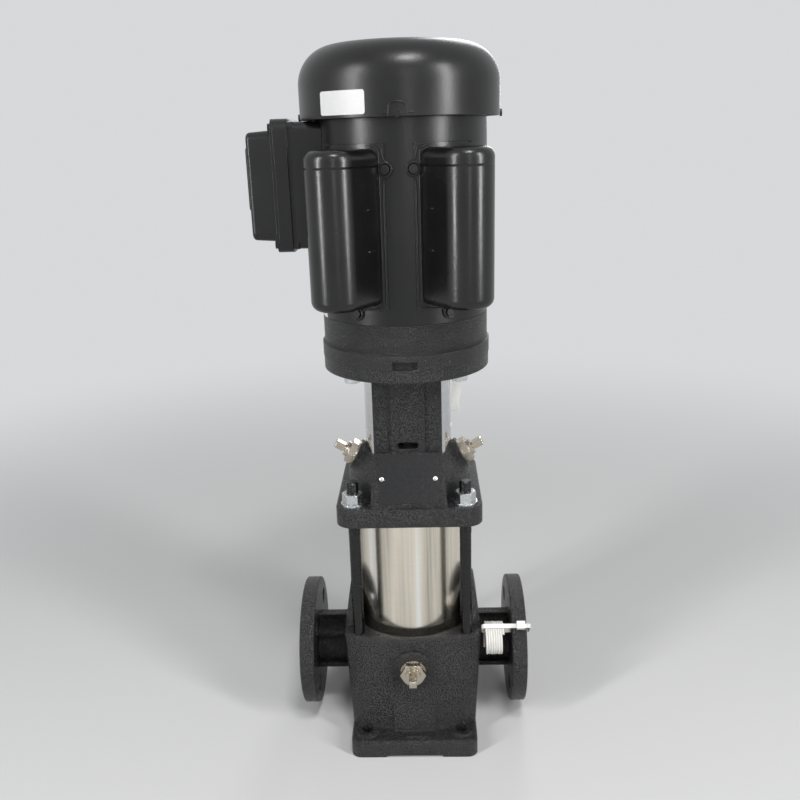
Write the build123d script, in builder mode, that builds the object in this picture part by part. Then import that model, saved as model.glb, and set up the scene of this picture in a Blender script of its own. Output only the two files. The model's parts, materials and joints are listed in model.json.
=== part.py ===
from build123d import *
import math
import os

os.makedirs("parts", exist_ok=True)

# Vertical in-line multistage pump with a single-phase motor on top.
# Millimetres. Z is the pump axis, z = 0 is the floor, -Y is the front, the
# suction flange is on the left (-X) and the discharge flange on the right (+X).

# ---------------------------------------------------------------- clearances
thread_gap = 0.05          # radial, thread against its hole
fit_gap = 0.02             # radial, pieces that turn together on one shaft
running_gap = 0.05         # radial, pieces that run on each other
seat_gap = 0.05            # around spigots, rings and sheet edges

# ------------------------------------------------------------ ports, flanges
face_to_face = 250.0
port_height = 75.0
port_bore = 35.0
flange_diameter = 140.0
flange_thickness = 18.0
flange_edge = 1.5
flange_bolt_circle = 100.0
suction_bolt_hole = 18.0
discharge_bolt_hole = 18.5
flange_bolts = 4
raised_face_diameter = 78.0
raised_face_height = 2.0
stub_diameter = 50.0
stub_rib_width = 48.0
stub_rib_thickness = 5.0
stub_rib_height = 20.0

# ---------------------------------------------------------------- foot, base
foot_length = 220.0
foot_width = 134.0
foot_height = 19.0
foot_corner = 10.0
foot_edge = 3.5
foot_relief_width = 60.0
foot_relief_height = 2.0
foot_hole = 13.5
foot_hole_spacing_x = 100.0
foot_hole_spacing_y = 180.0
foot_pad_diameter = 30.0
foot_pad_height = 2.0
arrow_length = 28.0
arrow_height = 1.2

rim_height = 119.0
body_half_width = 73.5
body_half_width_low = 67.0
body_corner = 54.0
body_front = 72.0
body_front_low = 89.0
body_corner_front = 66.5
body_corner_front_low = 84.0
body_side_front = 61.0
body_side_front_low = 72.0
body_side_corner = 7.0
body_corner_edge = 8.0
rim_edge = 4.0
foot_blend = 2.5
pillar_edge = 2.0
rim_dish = 8.0
rim_dish_depth = 9.0

arch_height = 37.0
arch_half_width = 44.0
arch_lean = 5.0

chamber_floor = 46.0
chamber_wall = 6.0
suction_wall = 38.0
suction_well = 32.0
suction_well_floor = 40.0
suction_pipe_wall = 5.0

plug_height = 85.0
plug_face = 80.0
pillar_half_width = 22.6
pillar_proud = 3.5

# ---------------------------------------------------------- sleeve, staybolts
sleeve_diameter = 120.0
sleeve_wall = 2.0
sleeve_seat = 100.0
sleeve_pocket = 6.0
sleeve_ring_section = 3.0
stay_spacing = 115.0
stay_diameter = 12.0
stay_depth = 32.0
stay_stick_out = 11.5
stay_end_chamfer = 1.2
nut_flats = 19.0
nut_height = 10.5
washer_diameter = 24.5
washer_thickness = 2.5

# ---------------------------------------------------------------- pump head
head_plate_low = 250.0
head_plate_thickness = 20.0
head_plate_width = 150.0
head_plate_depth = 147.0
head_plate_corner = 17.0
head_lip_height = 3.0
head_lip_diameter = 134.0
dome_step_diameter = 131.0
dome_step_height = 20.0
dome_edge = 5.0
dome_top_diameter = 94.0
dome_height = 42.0
dome_cavity_diameter = 100.0
dome_cavity_height = 26.0
stool_floor = 6.0
vent_angle = 30.0
vent_face_radius = 57.0
vent_face_height = 34.0
vent_boss_diameter = 33.0
vent_boss_length = 24.0

pillar_width = 70.0
pillar_front = 40.0
pillar_inner = 26.0
panel_half_width = 17.0
panel_proud = 2.5
panel_slot_width = 22.0
panel_slot_height = 7.5
stool_height = 93.0
stool_flange_thickness = 13.0
stool_flange_diameter = 169.0
motor_bolt_circle = 149.225
motor_bolt_diameter = 9.5
motor_bolt_flats = 14.3
motor_bolt_head = 6.2
motor_bolt_depth = 24.0
motor_spigot = 114.3
motor_spigot_height = 3.0

plate_width_low = 78.0
plate_width_top = 70.0
pad_low_front = 69.0
pad_top_front = 45.0
pad_low_height = 3.0
pad_top_height = 50.0
nameplate_width = 62.0
nameplate_height = 50.0
nameplate_thickness = 0.8

guard_radius = 45.4
guard_sheet = 0.8
guard_height = 83.0
guard_tab = 7.0

# ------------------------------------------------------------- screw plugs
plug_thread = 21.0
plug_thread_length = 14.0
plug_flats = 24.0
plug_hex_height = 7.0
plug_collar = 17.0
plug_collar_height = 3.5
plug_washer_diameter = 27.0
plug_washer_thickness = 2.0
spindle_diameter = 8.0
spindle_head_flats = 8.0
spindle_head_length = 11.0
spindle_pitch = 1.25
spindle_turns = 2.0
ring_section = 1.8

# ------------------------------------------------------------ wet end, shaft
stages = 4
stage_pitch = 27.0
stage_diameter = 100.0
stage_sheet = 1.4
stage_vanes = 8
vane_sheet = 1.2
guide_disc_height = 15.0
guide_disc_diameter = 88.0
inlet_height = 24.0
impeller_diameter = 76.0
impeller_blades = 6
impeller_neck = 36.0
impeller_eye = 31.0
impeller_width = 7.0
impeller_lift = 2.0
impeller_hub = 24.0
shaft_diameter = 16.0
shaft_collar = 22.0
shaft_foot = 14.0
strap_width = 12.0
strap_sheet = 1.2
straps = 4

seal_bore = 42.0
seal_nut_flats = 46.0
seal_nut_height = 6.0
seal_seat_diameter = 36.0
seal_seat_height = 6.0
seal_ring_diameter = 32.0
seal_ring_height = 7.0
seal_spring_height = 12.0
seal_spring_wire = 2.0

coupling_diameter = 48.0
coupling_height = 66.0
coupling_split = 1.0
coupling_foot = 14.0
coupling_screw_spacing = 28.0
coupling_screw_rise = 44.0
coupling_screw_diameter = 6.0
coupling_screw_head = 9.0
coupling_screw_head_height = 5.0
coupling_screw_length = 20.0

# -------------------------------------------------------------------- motor
motor_shaft_end = 15.875
motor_diameter = 165.4
motor_wall = 2.5
bell_diameter = 166.0
bell_flange_diameter = 170.0
bell_flange_height = 15.0
bell_height = 42.0
bell_floor = 8.0
bell_wall = 7.0
bell_notch_half_width = 12.0
bell_notch_height = 8.0
bell_notch_depth = 4.0
shell_height = 185.0
fan_bell_height = 12.0
fan_bell_floor = 5.0
bearing_outer = 40.0
bearing_inner = 17.0
bearing_width = 12.0
bearing_race = 3.0
bearing_ball = 5.9
bearing_balls = 8
core_height = 90.0
core_rise = 40.0
core_bore = 90.0
core_slots = 24
core_slot_width = 5.0
core_slot_depth = 16.0
air_gap = 0.5
winding_height = 22.0
winding_inner = 52.0
winding_outer = 72.0
rotor_shaft = 24.0

fan_cover_diameter = 190.0
fan_cover_height = 69.0
fan_cover_wall = 1.6
fan_cover_corner = 35.0
fan_cover_crown = 4.0
fan_slot_width = 5.0
fan_slot_rings = [22.0, 36.0, 50.0]
fan_diameter = 150.0
fan_blades = 7
fan_height = 26.0
fan_hub = 30.0
fan_plate = 3.0
fan_lift = 10.0

cap_cover_low = 19.0
cap_cover_height = 140.0
cap_cover_wall = 1.6
cap_radius = 24.5
cap_offset_x = 58.5
cap_offset_y = 92.0
cap_inner_x = 20.0
cap_inner_y = 79.0
cap_outer_x = 74.0
cap_outer_y = 54.0
cap_toe = 3.5
cap_edge = 9.0
cap_flange_sheet = 1.4
cap_flange_margin = 4.0
cap_flange_start = 9.0
cap_flange_end = 55.0
cap_ear_places = ((8.5, 122.0), (31.0, -8.0), (60.9, 30.0))
cap_ear = 6.5
capacitor_radius = 20.0
capacitor_height = 110.0
capacitor_lift = 0.3
capacitor_edge = 5.0
cover_screw_diameter = 4.0
cover_screw_head = 8.0
cover_screw_length = 8.0

box_low = 68.0
box_height = 116.0
box_half_width = 42.0
box_depth = 104.0
box_rim_width = 12.0
box_rim_proud = 3.0
box_wall = 3.0
box_corner = 9.0
lid_depth = 28.0
lid_inset = 6.5
lid_panel = 2.5
lid_panel_low = 22.0
lid_panel_height = 58.0
conduit_hole = 16.2
box_screw_diameter = 4.0
box_screw_head = 8.0
box_screw_length = 14.0
box_screw_inset = 5.0
box_post_radius = 5.0
box_post_depth = 6.0
lid_edge = 4.0

# --------------------------------------------------- tied coil at the flange
coil_radius = 18.0
coil_wire = 2.6
coil_length = 21.0
coil_start = 77.0
coil_front = 47.0
coil_height = 103.5
tie_inner_front = 40.5
tie_inner_height = 108.0
tie_outer_front = 54.0
tie_outer_height = 122.3
tie_width = 4.6
tie_thickness = 1.2
tie_head = 9.0

# ------------------------------------------------------------ derived places
flange_plane = face_to_face / 2
sleeve_radius = sleeve_diameter / 2
head_top = head_plate_low + head_plate_thickness
sleeve_top = head_plate_low + sleeve_pocket
dome_top = head_top + dome_height
stool_top = dome_top + stool_height
stool_face = stool_top + stool_flange_thickness
motor_foot = stool_face
shell_low = motor_foot + bell_height
shell_top = shell_low + shell_height
stage_low = sleeve_seat - 2 + inlet_height
stage_high = stage_low + stages * stage_pitch
shaft_radius = shaft_diameter / 2
coupling_low = dome_top + coupling_foot
coupling_mid = coupling_low + coupling_height / 2
motor_radius = motor_diameter / 2


def solid_of(builder, label):
    # label a finished builder's part and write it as one file
    builder.part.label = label
    export_step(builder.part, f"parts/{label}.step")


def base_outline(half_width, front, corner_front, side_front):
    # plan outline of the base body: gently curved front and rear, flat sides
    with BuildSketch() as outline:
        with BuildLine():
            ThreePointArc((-body_corner, -corner_front), (0, -front), (body_corner, -corner_front))
            Line((body_corner, -corner_front), (half_width, -side_front))
            Line((half_width, -side_front), (half_width, side_front))
            Line((half_width, side_front), (body_corner, corner_front))
            ThreePointArc((body_corner, corner_front), (0, front), (-body_corner, corner_front))
            Line((-body_corner, corner_front), (-half_width, side_front))
            Line((-half_width, side_front), (-half_width, -side_front))
            Line((-half_width, -side_front), (-body_corner, -corner_front))
        make_face()
        side_corners = outline.vertices().filter_by(lambda v: abs(v.X) > body_corner + 1)
        fillet(side_corners, radius=body_side_corner)
    return outline.sketch


# ----------------------------------------------------------------- the base
# Tombstone arches over both ports: a leaning side profile cut to an arch.
with BuildPart() as port_arches:
    with BuildSketch(Plane.XZ) as arch_side:
        for side in (-1, 1):
            with BuildLine():
                Polyline(
                    (side * (sleeve_radius - 4), rim_height - 25),
                    (side * (body_half_width - 0.5), rim_height - 25),
                    (side * body_half_width, rim_height),
                    (side * (body_half_width - arch_lean), rim_height + arch_height),
                    (side * (sleeve_radius - 4), rim_height + arch_height),
                    close=True,
                )
            make_face()
    extrude(amount=arch_half_width, both=True)
    with BuildSketch(Plane.YZ) as arch_front:
        with Locations((0, rim_height + arch_height - arch_half_width)):
            Circle(arch_half_width)
        with Locations((0, rim_height + (arch_height - arch_half_width) / 2 - 30)):
            Rectangle(2 * arch_half_width, arch_height - arch_half_width + 60)
    extrude(amount=body_half_width + 5, both=True, mode=Mode.INTERSECT)

# Raised pillar around the drain plug, with an arched top.
with BuildPart() as plug_pillar:
    with BuildSketch(Plane.YZ) as pillar_side:
        with BuildLine():
            Polyline(
                (-plug_face + 25, foot_height),
                (-body_front_low - pillar_proud, foot_height),
                (-plug_face, plug_height - pillar_half_width),
                (-plug_face, plug_height + pillar_half_width),
                (-plug_face + 25, plug_height + pillar_half_width),
                close=True,
            )
        make_face()
    extrude(amount=pillar_half_width, both=True)
    with BuildSketch(Plane.XZ) as pillar_arch:
        with Locations((0, plug_height)):
            Circle(pillar_half_width)
        with Locations((0, plug_height / 2)):
            Rectangle(2 * pillar_half_width, plug_height)
    extrude(amount=body_front_low + 20, mode=Mode.INTERSECT)
    face_edges = edges().filter_by(lambda e: e.center().Y < -plug_face + 0.5)
    fillet(face_edges.filter_by(lambda e: abs(e.center().X) > 15), radius=pillar_edge)

with BuildPart() as base_body:
    with BuildSketch(Plane.XY.offset(foot_height - 1)):
        add(base_outline(body_half_width_low, body_front_low, body_corner_front_low,
                         body_side_front_low))
    with BuildSketch(Plane.XY.offset(rim_height)):
        add(base_outline(body_half_width, body_front, body_corner_front, body_side_front))
    loft()
    tall_edges = edges().filter_by(lambda e: e.bounding_box().size.Z > rim_height / 2)
    fillet(tall_edges.filter_by(lambda e: abs(e.center().X) < body_corner + 2), radius=body_corner_edge)
    fillet(edges().filter_by(lambda e: e.bounding_box().min.Z > rim_height - 0.01), radius=rim_edge)

with BuildPart() as base_casting:
    # foot with four corner feet below
    with BuildSketch() as foot_plan:
        RectangleRounded(foot_width, foot_length, foot_corner)
    extrude(amount=foot_height)
    fillet(faces().sort_by(Axis.Z)[-1].edges(), radius=foot_edge)
    # body, blended into the foot at the front and rear
    add(base_body.part)
    level_edges = edges().filter_by(lambda e: abs(e.center().Z - foot_height) < 0.02)
    foot_joint = level_edges.filter_by(
        lambda e: e.bounding_box().size.Z < 0.05 and 70 < abs(e.center().Y) < body_front_low + 6)
    fillet(foot_joint, radius=foot_blend)
    add(plug_pillar.part)
    add(port_arches.part)
    # stubs with ribs above, below and at the sides, and the two flanges
    for side in (-1, 1):
        port_plane = Plane(origin=(side * flange_plane, 0, port_height), x_dir=(0, 1, 0),
                           z_dir=(-side, 0, 0))
        with BuildSketch(port_plane):
            Circle(raised_face_diameter / 2)
        extrude(amount=raised_face_height)
        with BuildSketch(port_plane.offset(raised_face_height)):
            Circle(flange_diameter / 2)
        extrude(amount=flange_thickness - raised_face_height)
        rim_circles = edges().filter_by(GeomType.CIRCLE).filter_by(
            lambda e: abs(e.radius - flange_diameter / 2) < 0.01 and side * e.center().X > 0)
        fillet(rim_circles, radius=flange_edge)
        with BuildSketch(port_plane.offset(flange_thickness)):
            Circle(stub_diameter / 2)
            for rise in (-stub_rib_height, stub_rib_height):
                with Locations((0, rise)):
                    Rectangle(stub_rib_width, stub_rib_thickness)
            Rectangle(stub_rib_thickness, 2 * stub_rib_height + 24)
        extrude(amount=flange_plane - flange_thickness - body_half_width_low + 8)
    # dished rim, pocket for the sleeve and the annular discharge chamber
    with BuildSketch(Plane.XZ):
        with BuildLine():
            Polyline(
                (0, chamber_floor),
                (sleeve_radius - chamber_wall, chamber_floor),
                (sleeve_radius - chamber_wall, sleeve_seat),
                (sleeve_radius + seat_gap, sleeve_seat),
                (sleeve_radius + seat_gap, rim_height - rim_dish_depth),
                (sleeve_radius + seat_gap + 1, rim_height - rim_dish_depth),
                (sleeve_radius + rim_dish, rim_height),
                (sleeve_radius + rim_dish - arch_lean, rim_height + arch_height + 5),
                (0, rim_height + arch_height + 5),
                close=True,
            )
        make_face()
    revolve(axis=Axis.Z, mode=Mode.SUBTRACT)
    # groove for the lower sleeve ring
    with BuildSketch(Plane.XZ):
        with Locations((sleeve_radius + sleeve_ring_section / 2, rim_height - rim_dish_depth - 4)):
            Rectangle(sleeve_ring_section + 2 * seat_gap, sleeve_ring_section + 2 * seat_gap)
    revolve(axis=Axis.Z, mode=Mode.SUBTRACT)
    # suction well in the middle, reached by its own pipe from the left port
    with BuildSketch(Plane.XY.offset(chamber_floor - 1)):
        Circle(suction_wall)
    extrude(amount=sleeve_seat - 2 - chamber_floor + 1)
    with BuildSketch(Plane.YZ.offset(-sleeve_radius)):
        with Locations((0, port_height)):
            Circle(port_bore / 2 + suction_pipe_wall)
    extrude(amount=sleeve_radius - suction_well)
    with BuildSketch(Plane.XY.offset(suction_well_floor)):
        Circle(suction_well)
    extrude(amount=sleeve_seat - suction_well_floor + 5, mode=Mode.SUBTRACT)
    with BuildSketch(Plane.YZ.offset(-flange_plane)):
        with Locations((0, port_height)):
            Circle(port_bore / 2)
    extrude(amount=flange_plane - suction_well + 6, mode=Mode.SUBTRACT)
    with BuildSketch(Plane.YZ.offset(flange_plane)):
        with Locations((0, port_height)):
            Circle(port_bore / 2)
    extrude(amount=-(flange_plane - sleeve_radius + 14), mode=Mode.SUBTRACT)
    # flange bolt holes
    for side, flange_bolt_hole in ((-1, suction_bolt_hole), (1, discharge_bolt_hole)):
        with BuildSketch(Plane.YZ.offset(side * flange_plane)):
            with Locations((0, port_height)):
                with PolarLocations(flange_bolt_circle / 2, flange_bolts, start_angle=45):
                    Circle(flange_bolt_hole / 2)
        extrude(amount=-side * (flange_thickness + 0.5), mode=Mode.SUBTRACT)
    # threaded hole for the drain plug
    with BuildSketch(Plane.XZ.offset(plug_face)):
        with Locations((0, plug_height)):
            Circle(plug_thread / 2 + thread_gap)
    extrude(amount=-(plug_face - sleeve_radius + 12), mode=Mode.SUBTRACT)
    # threaded holes for the staybolts
    with BuildSketch(Plane.XY.offset(rim_height)):
        with GridLocations(stay_spacing, stay_spacing, 2, 2):
            Circle(stay_diameter / 2 + thread_gap)
    extrude(amount=-stay_depth, mode=Mode.SUBTRACT)
    # relief under the foot, bolt pads and bolt holes
    with BuildSketch():
        Rectangle(foot_relief_width, foot_length)
        Rectangle(foot_width, foot_hole_spacing_y - 3 * foot_pad_diameter)
    extrude(amount=foot_relief_height, mode=Mode.SUBTRACT)
    with BuildSketch(Plane.XY.offset(foot_height)):
        with GridLocations(foot_hole_spacing_x, foot_hole_spacing_y, 2, 2):
            Circle(foot_pad_diameter / 2 - 2)
    extrude(amount=foot_pad_height)
    with BuildSketch():
        with GridLocations(foot_hole_spacing_x, foot_hole_spacing_y, 2, 2):
            Circle(foot_hole / 2)
    extrude(amount=foot_height + 30, mode=Mode.SUBTRACT)
    # flow arrow cast on the front of the foot
    with BuildSketch(Plane.XY.offset(foot_height - 0.2)):
        with Locations((0, -(body_front_low + foot_length / 2) / 2 - 1.5)):
            Rectangle(arrow_length * 0.6, 3)
            with Locations((arrow_length * 0.3 + 3, 0)):
                Triangle(a=9, b=8, c=8, rotation=-90, align=(Align.CENTER, Align.CENTER))
    extrude(amount=arrow_height + 0.2)
solid_of(base_casting, "base_casting")


# ------------------------------------------------------- sleeve and staybolts
with BuildPart() as outer_sleeve:
    with BuildSketch(Plane.XY.offset(sleeve_seat)):
        Circle(sleeve_radius)
        Circle(sleeve_radius - sleeve_wall, mode=Mode.SUBTRACT)
    extrude(amount=sleeve_top - sleeve_seat)
solid_of(outer_sleeve, "outer_sleeve")

lower_ring_height = rim_height - rim_dish_depth - 4
upper_ring_height = head_plate_low
with BuildPart() as sleeve_o_rings:
    for ring_height in (lower_ring_height, upper_ring_height):
        with Locations((0, 0, ring_height)):
            Torus(sleeve_radius + sleeve_ring_section / 2, sleeve_ring_section / 2 - fit_gap)
solid_of(sleeve_o_rings, "sleeve_o_rings")

stay_low = rim_height - stay_depth
washer_top = head_top + washer_thickness
nut_top = washer_top + nut_height
stay_top = nut_top + stay_stick_out
with BuildPart() as staybolts:
    with BuildSketch(Plane.XY.offset(stay_low)):
        with GridLocations(stay_spacing, stay_spacing, 2, 2):
            Circle(stay_diameter / 2)
    extrude(amount=stay_top - stay_low)
    chamfer(faces().filter_by(Plane.XY).edges(), length=stay_end_chamfer)
solid_of(staybolts, "staybolts")

with BuildPart() as staybolt_washers:
    with BuildSketch(Plane.XY.offset(head_top)):
        with GridLocations(stay_spacing, stay_spacing, 2, 2):
            Circle(washer_diameter / 2)
            Circle(stay_diameter / 2 + 0.25, mode=Mode.SUBTRACT)
    extrude(amount=washer_thickness)
solid_of(staybolt_washers, "staybolt_washers")


def hex_head(flats, height, top_chamfer):
    # hexagon standing on z = 0 with its upper corners turned down
    with BuildPart(mode=Mode.PRIVATE) as head:
        with BuildSketch():
            RegularPolygon(radius=flats / 2, side_count=6, major_radius=False)
        extrude(amount=height)
        with BuildSketch(Plane.XZ):
            with BuildLine():
                Polyline(
                    (0, 0),
                    (flats * 0.6, 0),
                    (flats * 0.6, height - (flats * 0.6 - flats / 2 * 0.97) * top_chamfer),
                    (flats / 2 * 0.97, height),
                    (0, height),
                    close=True,
                )
            make_face()
        revolve(axis=Axis.Z, mode=Mode.INTERSECT)
    return head.part


with BuildPart() as staybolt_nuts:
    with Locations((0, 0, washer_top)):
        with GridLocations(stay_spacing, stay_spacing, 2, 2):
            add(hex_head(nut_flats, nut_height, 0.5))
    with BuildSketch(Plane.XY.offset(washer_top)):
        with GridLocations(stay_spacing, stay_spacing, 2, 2):
            Circle(stay_diameter / 2 + thread_gap)
    extrude(amount=nut_height, mode=Mode.SUBTRACT)
solid_of(staybolt_nuts, "staybolt_nuts")

# ---------------------------------------------------------------- pump head
drain_plane = Plane(origin=(0, -plug_face, plug_height), x_dir=(1, 0, 0), z_dir=(0, -1, 0))
vent_rise = math.sin(math.radians(vent_angle))
vent_run = math.cos(math.radians(vent_angle))
vent_planes = []
for side in (-1, 1):
    vent_planes.append(
        Plane(
            origin=(side * vent_face_radius, 0, head_top + vent_face_height),
            x_dir=(0, 1, 0),
            z_dir=(side * vent_run, 0, vent_rise),
        )
    )

# Sloped trapezoid pad that carries the nameplate.
pad_low = head_top + pad_low_height
pad_top = head_top + pad_top_height
pad_slope = Vector(0, pad_low_front - pad_top_front, pad_top - pad_low)
pad_middle = Vector(0, -(pad_low_front + pad_top_front) / 2, (pad_low + pad_top) / 2)
pad_plane = Plane(origin=pad_middle, x_dir=(1, 0, 0), z_dir=Vector(1, 0, 0).cross(pad_slope))
with BuildPart() as nameplate_pad:
    with BuildSketch(Plane.YZ) as pad_side:
        with BuildLine():
            Polyline(
                (-pillar_inner - 5, head_top - 1),
                (-pad_low_front, head_top - 1),
                (-pad_low_front, pad_low),
                (-pad_top_front, pad_top),
                (-pillar_inner - 5, pad_top),
                close=True,
            )
        make_face()
    extrude(amount=plate_width_low, both=True)
    with BuildSketch(Plane.XZ) as pad_front:
        with BuildLine():
            Polyline(
                (-plate_width_low / 2, head_top - 1),
                (plate_width_low / 2, head_top - 1),
                (plate_width_top / 2, pad_top),
                (-plate_width_top / 2, pad_top),
                close=True,
            )
        make_face()
    extrude(amount=pad_low_front + 5, mode=Mode.INTERSECT)

with BuildPart() as pump_head:
    # lip around the sleeve, square plate, stepped dome
    with BuildSketch(Plane.XY.offset(head_plate_low - head_lip_height)):
        Circle(head_lip_diameter / 2)
    extrude(amount=head_lip_height)
    with BuildSketch(Plane.XY.offset(head_plate_low)):
        RectangleRounded(head_plate_width, head_plate_depth, head_plate_corner)
    extrude(amount=head_plate_thickness)
    fillet(faces().sort_by(Axis.Z)[-1].edges(), radius=2.5)
    with BuildSketch(Plane.XZ):
        with BuildLine():
            Polyline(
                (0, head_top - 1),
                (dome_step_diameter / 2, head_top - 1),
                (dome_step_diameter / 2, head_top + dome_step_height),
                (dome_top_diameter / 2, dome_top),
                (0, dome_top),
                close=True,
            )
        make_face()
        step_corner = vertices().sort_by(Axis.X)[-2:].sort_by(Axis.Y)[-1]
        fillet(step_corner, radius=dome_edge)
    revolve(axis=Axis.Z)
    # flat seat for the nameplate across the front of the dome
    add(nameplate_pad.part)
    with BuildSketch(pad_plane):
        Rectangle(plate_width_low, pad_slope.length)
    extrude(amount=30, mode=Mode.SUBTRACT)
    for vent_plane in vent_planes:
        with BuildSketch(vent_plane):
            Circle(vent_boss_diameter / 2)
        extrude(amount=-vent_boss_length)
    # motor stool: floor, two pillars with raised panels, flange
    with BuildSketch(Plane.XY.offset(dome_top)):
        Circle(guard_radius - guard_sheet - seat_gap)
    extrude(amount=stool_floor)
    for side in (-1, 1):
        with BuildSketch(Plane.XY.offset(dome_top)):
            with Locations((0, side * (pillar_front + pillar_inner) / 2)):
                Rectangle(pillar_width, pillar_front - pillar_inner)
        extrude(amount=stool_top - dome_top)
        with BuildSketch(Plane.XY.offset(dome_top)):
            with Locations((0, side * (pillar_front + panel_proud / 2))):
                Rectangle(2 * panel_half_width, panel_proud)
        extrude(amount=stool_top - dome_top)
    with BuildSketch(Plane.XY.offset(stool_top)):
        Circle(stool_flange_diameter / 2)
    extrude(amount=stool_flange_thickness)
    # slots at the feet of the pillars
    with BuildSketch(Plane.XZ):
        with Locations((0, dome_top + stool_floor + 9)):
            SlotOverall(panel_slot_width, panel_slot_height)
    extrude(amount=pillar_front + 6, both=True, mode=Mode.SUBTRACT)
    # motor spigot bore, motor bolt holes
    with BuildSketch(Plane.XY.offset(stool_top)):
        Circle(motor_spigot / 2 - 6)
    extrude(amount=stool_flange_thickness, mode=Mode.SUBTRACT)
    with BuildSketch(Plane.XY.offset(stool_face - motor_spigot_height - seat_gap)):
        Circle(motor_spigot / 2 + seat_gap)
    extrude(amount=motor_spigot_height + 1, mode=Mode.SUBTRACT)
    with BuildSketch(Plane.XY.offset(stool_top)):
        with PolarLocations(motor_bolt_circle / 2, 4, start_angle=45):
            Circle(motor_bolt_diameter / 2 + 0.25)
    extrude(amount=stool_flange_thickness, mode=Mode.SUBTRACT)
    # inner cavity, seal bore, sleeve pocket and ring groove
    with BuildSketch(Plane.XZ):
        with BuildLine():
            Polyline(
                (0, head_plate_low - head_lip_height - 1),
                (dome_cavity_diameter / 2, head_plate_low - head_lip_height - 1),
                (dome_cavity_diameter / 2, head_top + dome_cavity_height - 22),
                (seal_bore / 2 + 10, head_top + dome_cavity_height),
                (seal_bore / 2 + thread_gap, head_top + dome_cavity_height),
                (seal_bore / 2 + thread_gap, dome_top + stool_floor + 1),
                (0, dome_top + stool_floor + 1),
                close=True,
            )
        make_face()
    revolve(axis=Axis.Z, mode=Mode.SUBTRACT)
    with BuildSketch(Plane.XY.offset(head_plate_low - head_lip_height)):
        Circle(sleeve_radius + seat_gap)
        Circle(sleeve_radius - sleeve_wall - seat_gap, mode=Mode.SUBTRACT)
    extrude(amount=head_lip_height + sleeve_pocket, mode=Mode.SUBTRACT)
    with BuildSketch(Plane.XZ):
        with Locations((sleeve_radius + sleeve_ring_section / 2, upper_ring_height)):
            Rectangle(sleeve_ring_section + 2 * seat_gap, sleeve_ring_section + 2 * seat_gap)
    revolve(axis=Axis.Z, mode=Mode.SUBTRACT)
    # staybolt holes and vent plug threads
    with BuildSketch(Plane.XY.offset(head_plate_low)):
        with GridLocations(stay_spacing, stay_spacing, 2, 2):
            Circle(stay_diameter / 2 + 0.25)
    extrude(amount=head_plate_thickness, mode=Mode.SUBTRACT)
    with BuildSketch(Plane.XY.offset(head_top)):
        with GridLocations(stay_spacing, stay_spacing, 2, 2):
            Circle(washer_diameter / 2 + 0.6)
    extrude(amount=nut_height + stay_stick_out + 8, mode=Mode.SUBTRACT)
    for vent_plane in vent_planes:
        with BuildSketch(vent_plane):
            Circle(plug_thread / 2 + thread_gap)
        extrude(amount=-(plug_thread_length + 8), mode=Mode.SUBTRACT)
solid_of(pump_head, "pump_head")

with BuildPart() as nameplate:
    with BuildSketch(pad_plane):
        RectangleRounded(nameplate_width, nameplate_height, 2)
    extrude(amount=nameplate_thickness)
solid_of(nameplate, "nameplate")

# Snap-on coupling guards: bent sheet with tabs against the pillar sides.
for side, name in ((-1, "left"), (1, "right")):
    with BuildPart() as coupling_guard:
        with BuildSketch(Plane.XY.offset(dome_top)):
            Circle(guard_radius)
            Circle(guard_radius - guard_sheet, mode=Mode.SUBTRACT)
            with Locations((-side * (guard_radius - pillar_width / 2 - seat_gap), 0)):
                Rectangle(2 * guard_radius, 2 * guard_radius + 2, mode=Mode.SUBTRACT)
            tab_outer = math.sqrt(guard_radius**2 - (pillar_width / 2 + guard_sheet) ** 2)
            for end in (-1, 1):
                with Locations((side * (pillar_width / 2 + seat_gap + guard_sheet / 2),
                                end * (tab_outer - guard_tab / 2))):
                    Rectangle(guard_sheet, guard_tab)
        extrude(amount=guard_height)
        with BuildSketch(vent_planes[(side + 1) // 2]):
            Circle(vent_boss_diameter / 2 + 0.4)
        extrude(amount=-vent_boss_length, mode=Mode.SUBTRACT)
        with BuildSketch(Plane.XY.offset(dome_top)):
            Circle(guard_radius - guard_sheet - seat_gap / 2)
        extrude(amount=stool_floor + seat_gap, mode=Mode.SUBTRACT)
    solid_of(coupling_guard, f"coupling_guard_{name}")

# ---------------------------------------------------------------- screw plugs
spindle_neck = plug_washer_thickness + plug_hex_height + plug_collar_height + 1.5
ring_place = plug_washer_thickness + 3
ring_travel = spindle_pitch * spindle_turns
with BuildPart() as screw_plug:
    Cylinder(plug_thread / 2, plug_thread_length, align=(Align.CENTER, Align.CENTER, Align.MAX))
    Cylinder(plug_thread / 2, plug_washer_thickness, align=(Align.CENTER, Align.CENTER, Align.MIN))
    with Locations((0, 0, plug_washer_thickness)):
        add(hex_head(plug_flats, plug_hex_height, 0.5))
    with Locations((0, 0, plug_washer_thickness + plug_hex_height)):
        Cylinder(plug_collar / 2, plug_collar_height, align=(Align.CENTER, Align.CENTER, Align.MIN))
    Cylinder(spindle_diameter / 2 + running_gap, 80, mode=Mode.SUBTRACT)
    with Locations((0, 0, ring_place - ring_section)):
        Cylinder(
            spindle_diameter / 2 + ring_section / 2,
            3 * ring_section + ring_travel,
            align=(Align.CENTER, Align.CENTER, Align.MIN),
            mode=Mode.SUBTRACT,
        )

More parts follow.
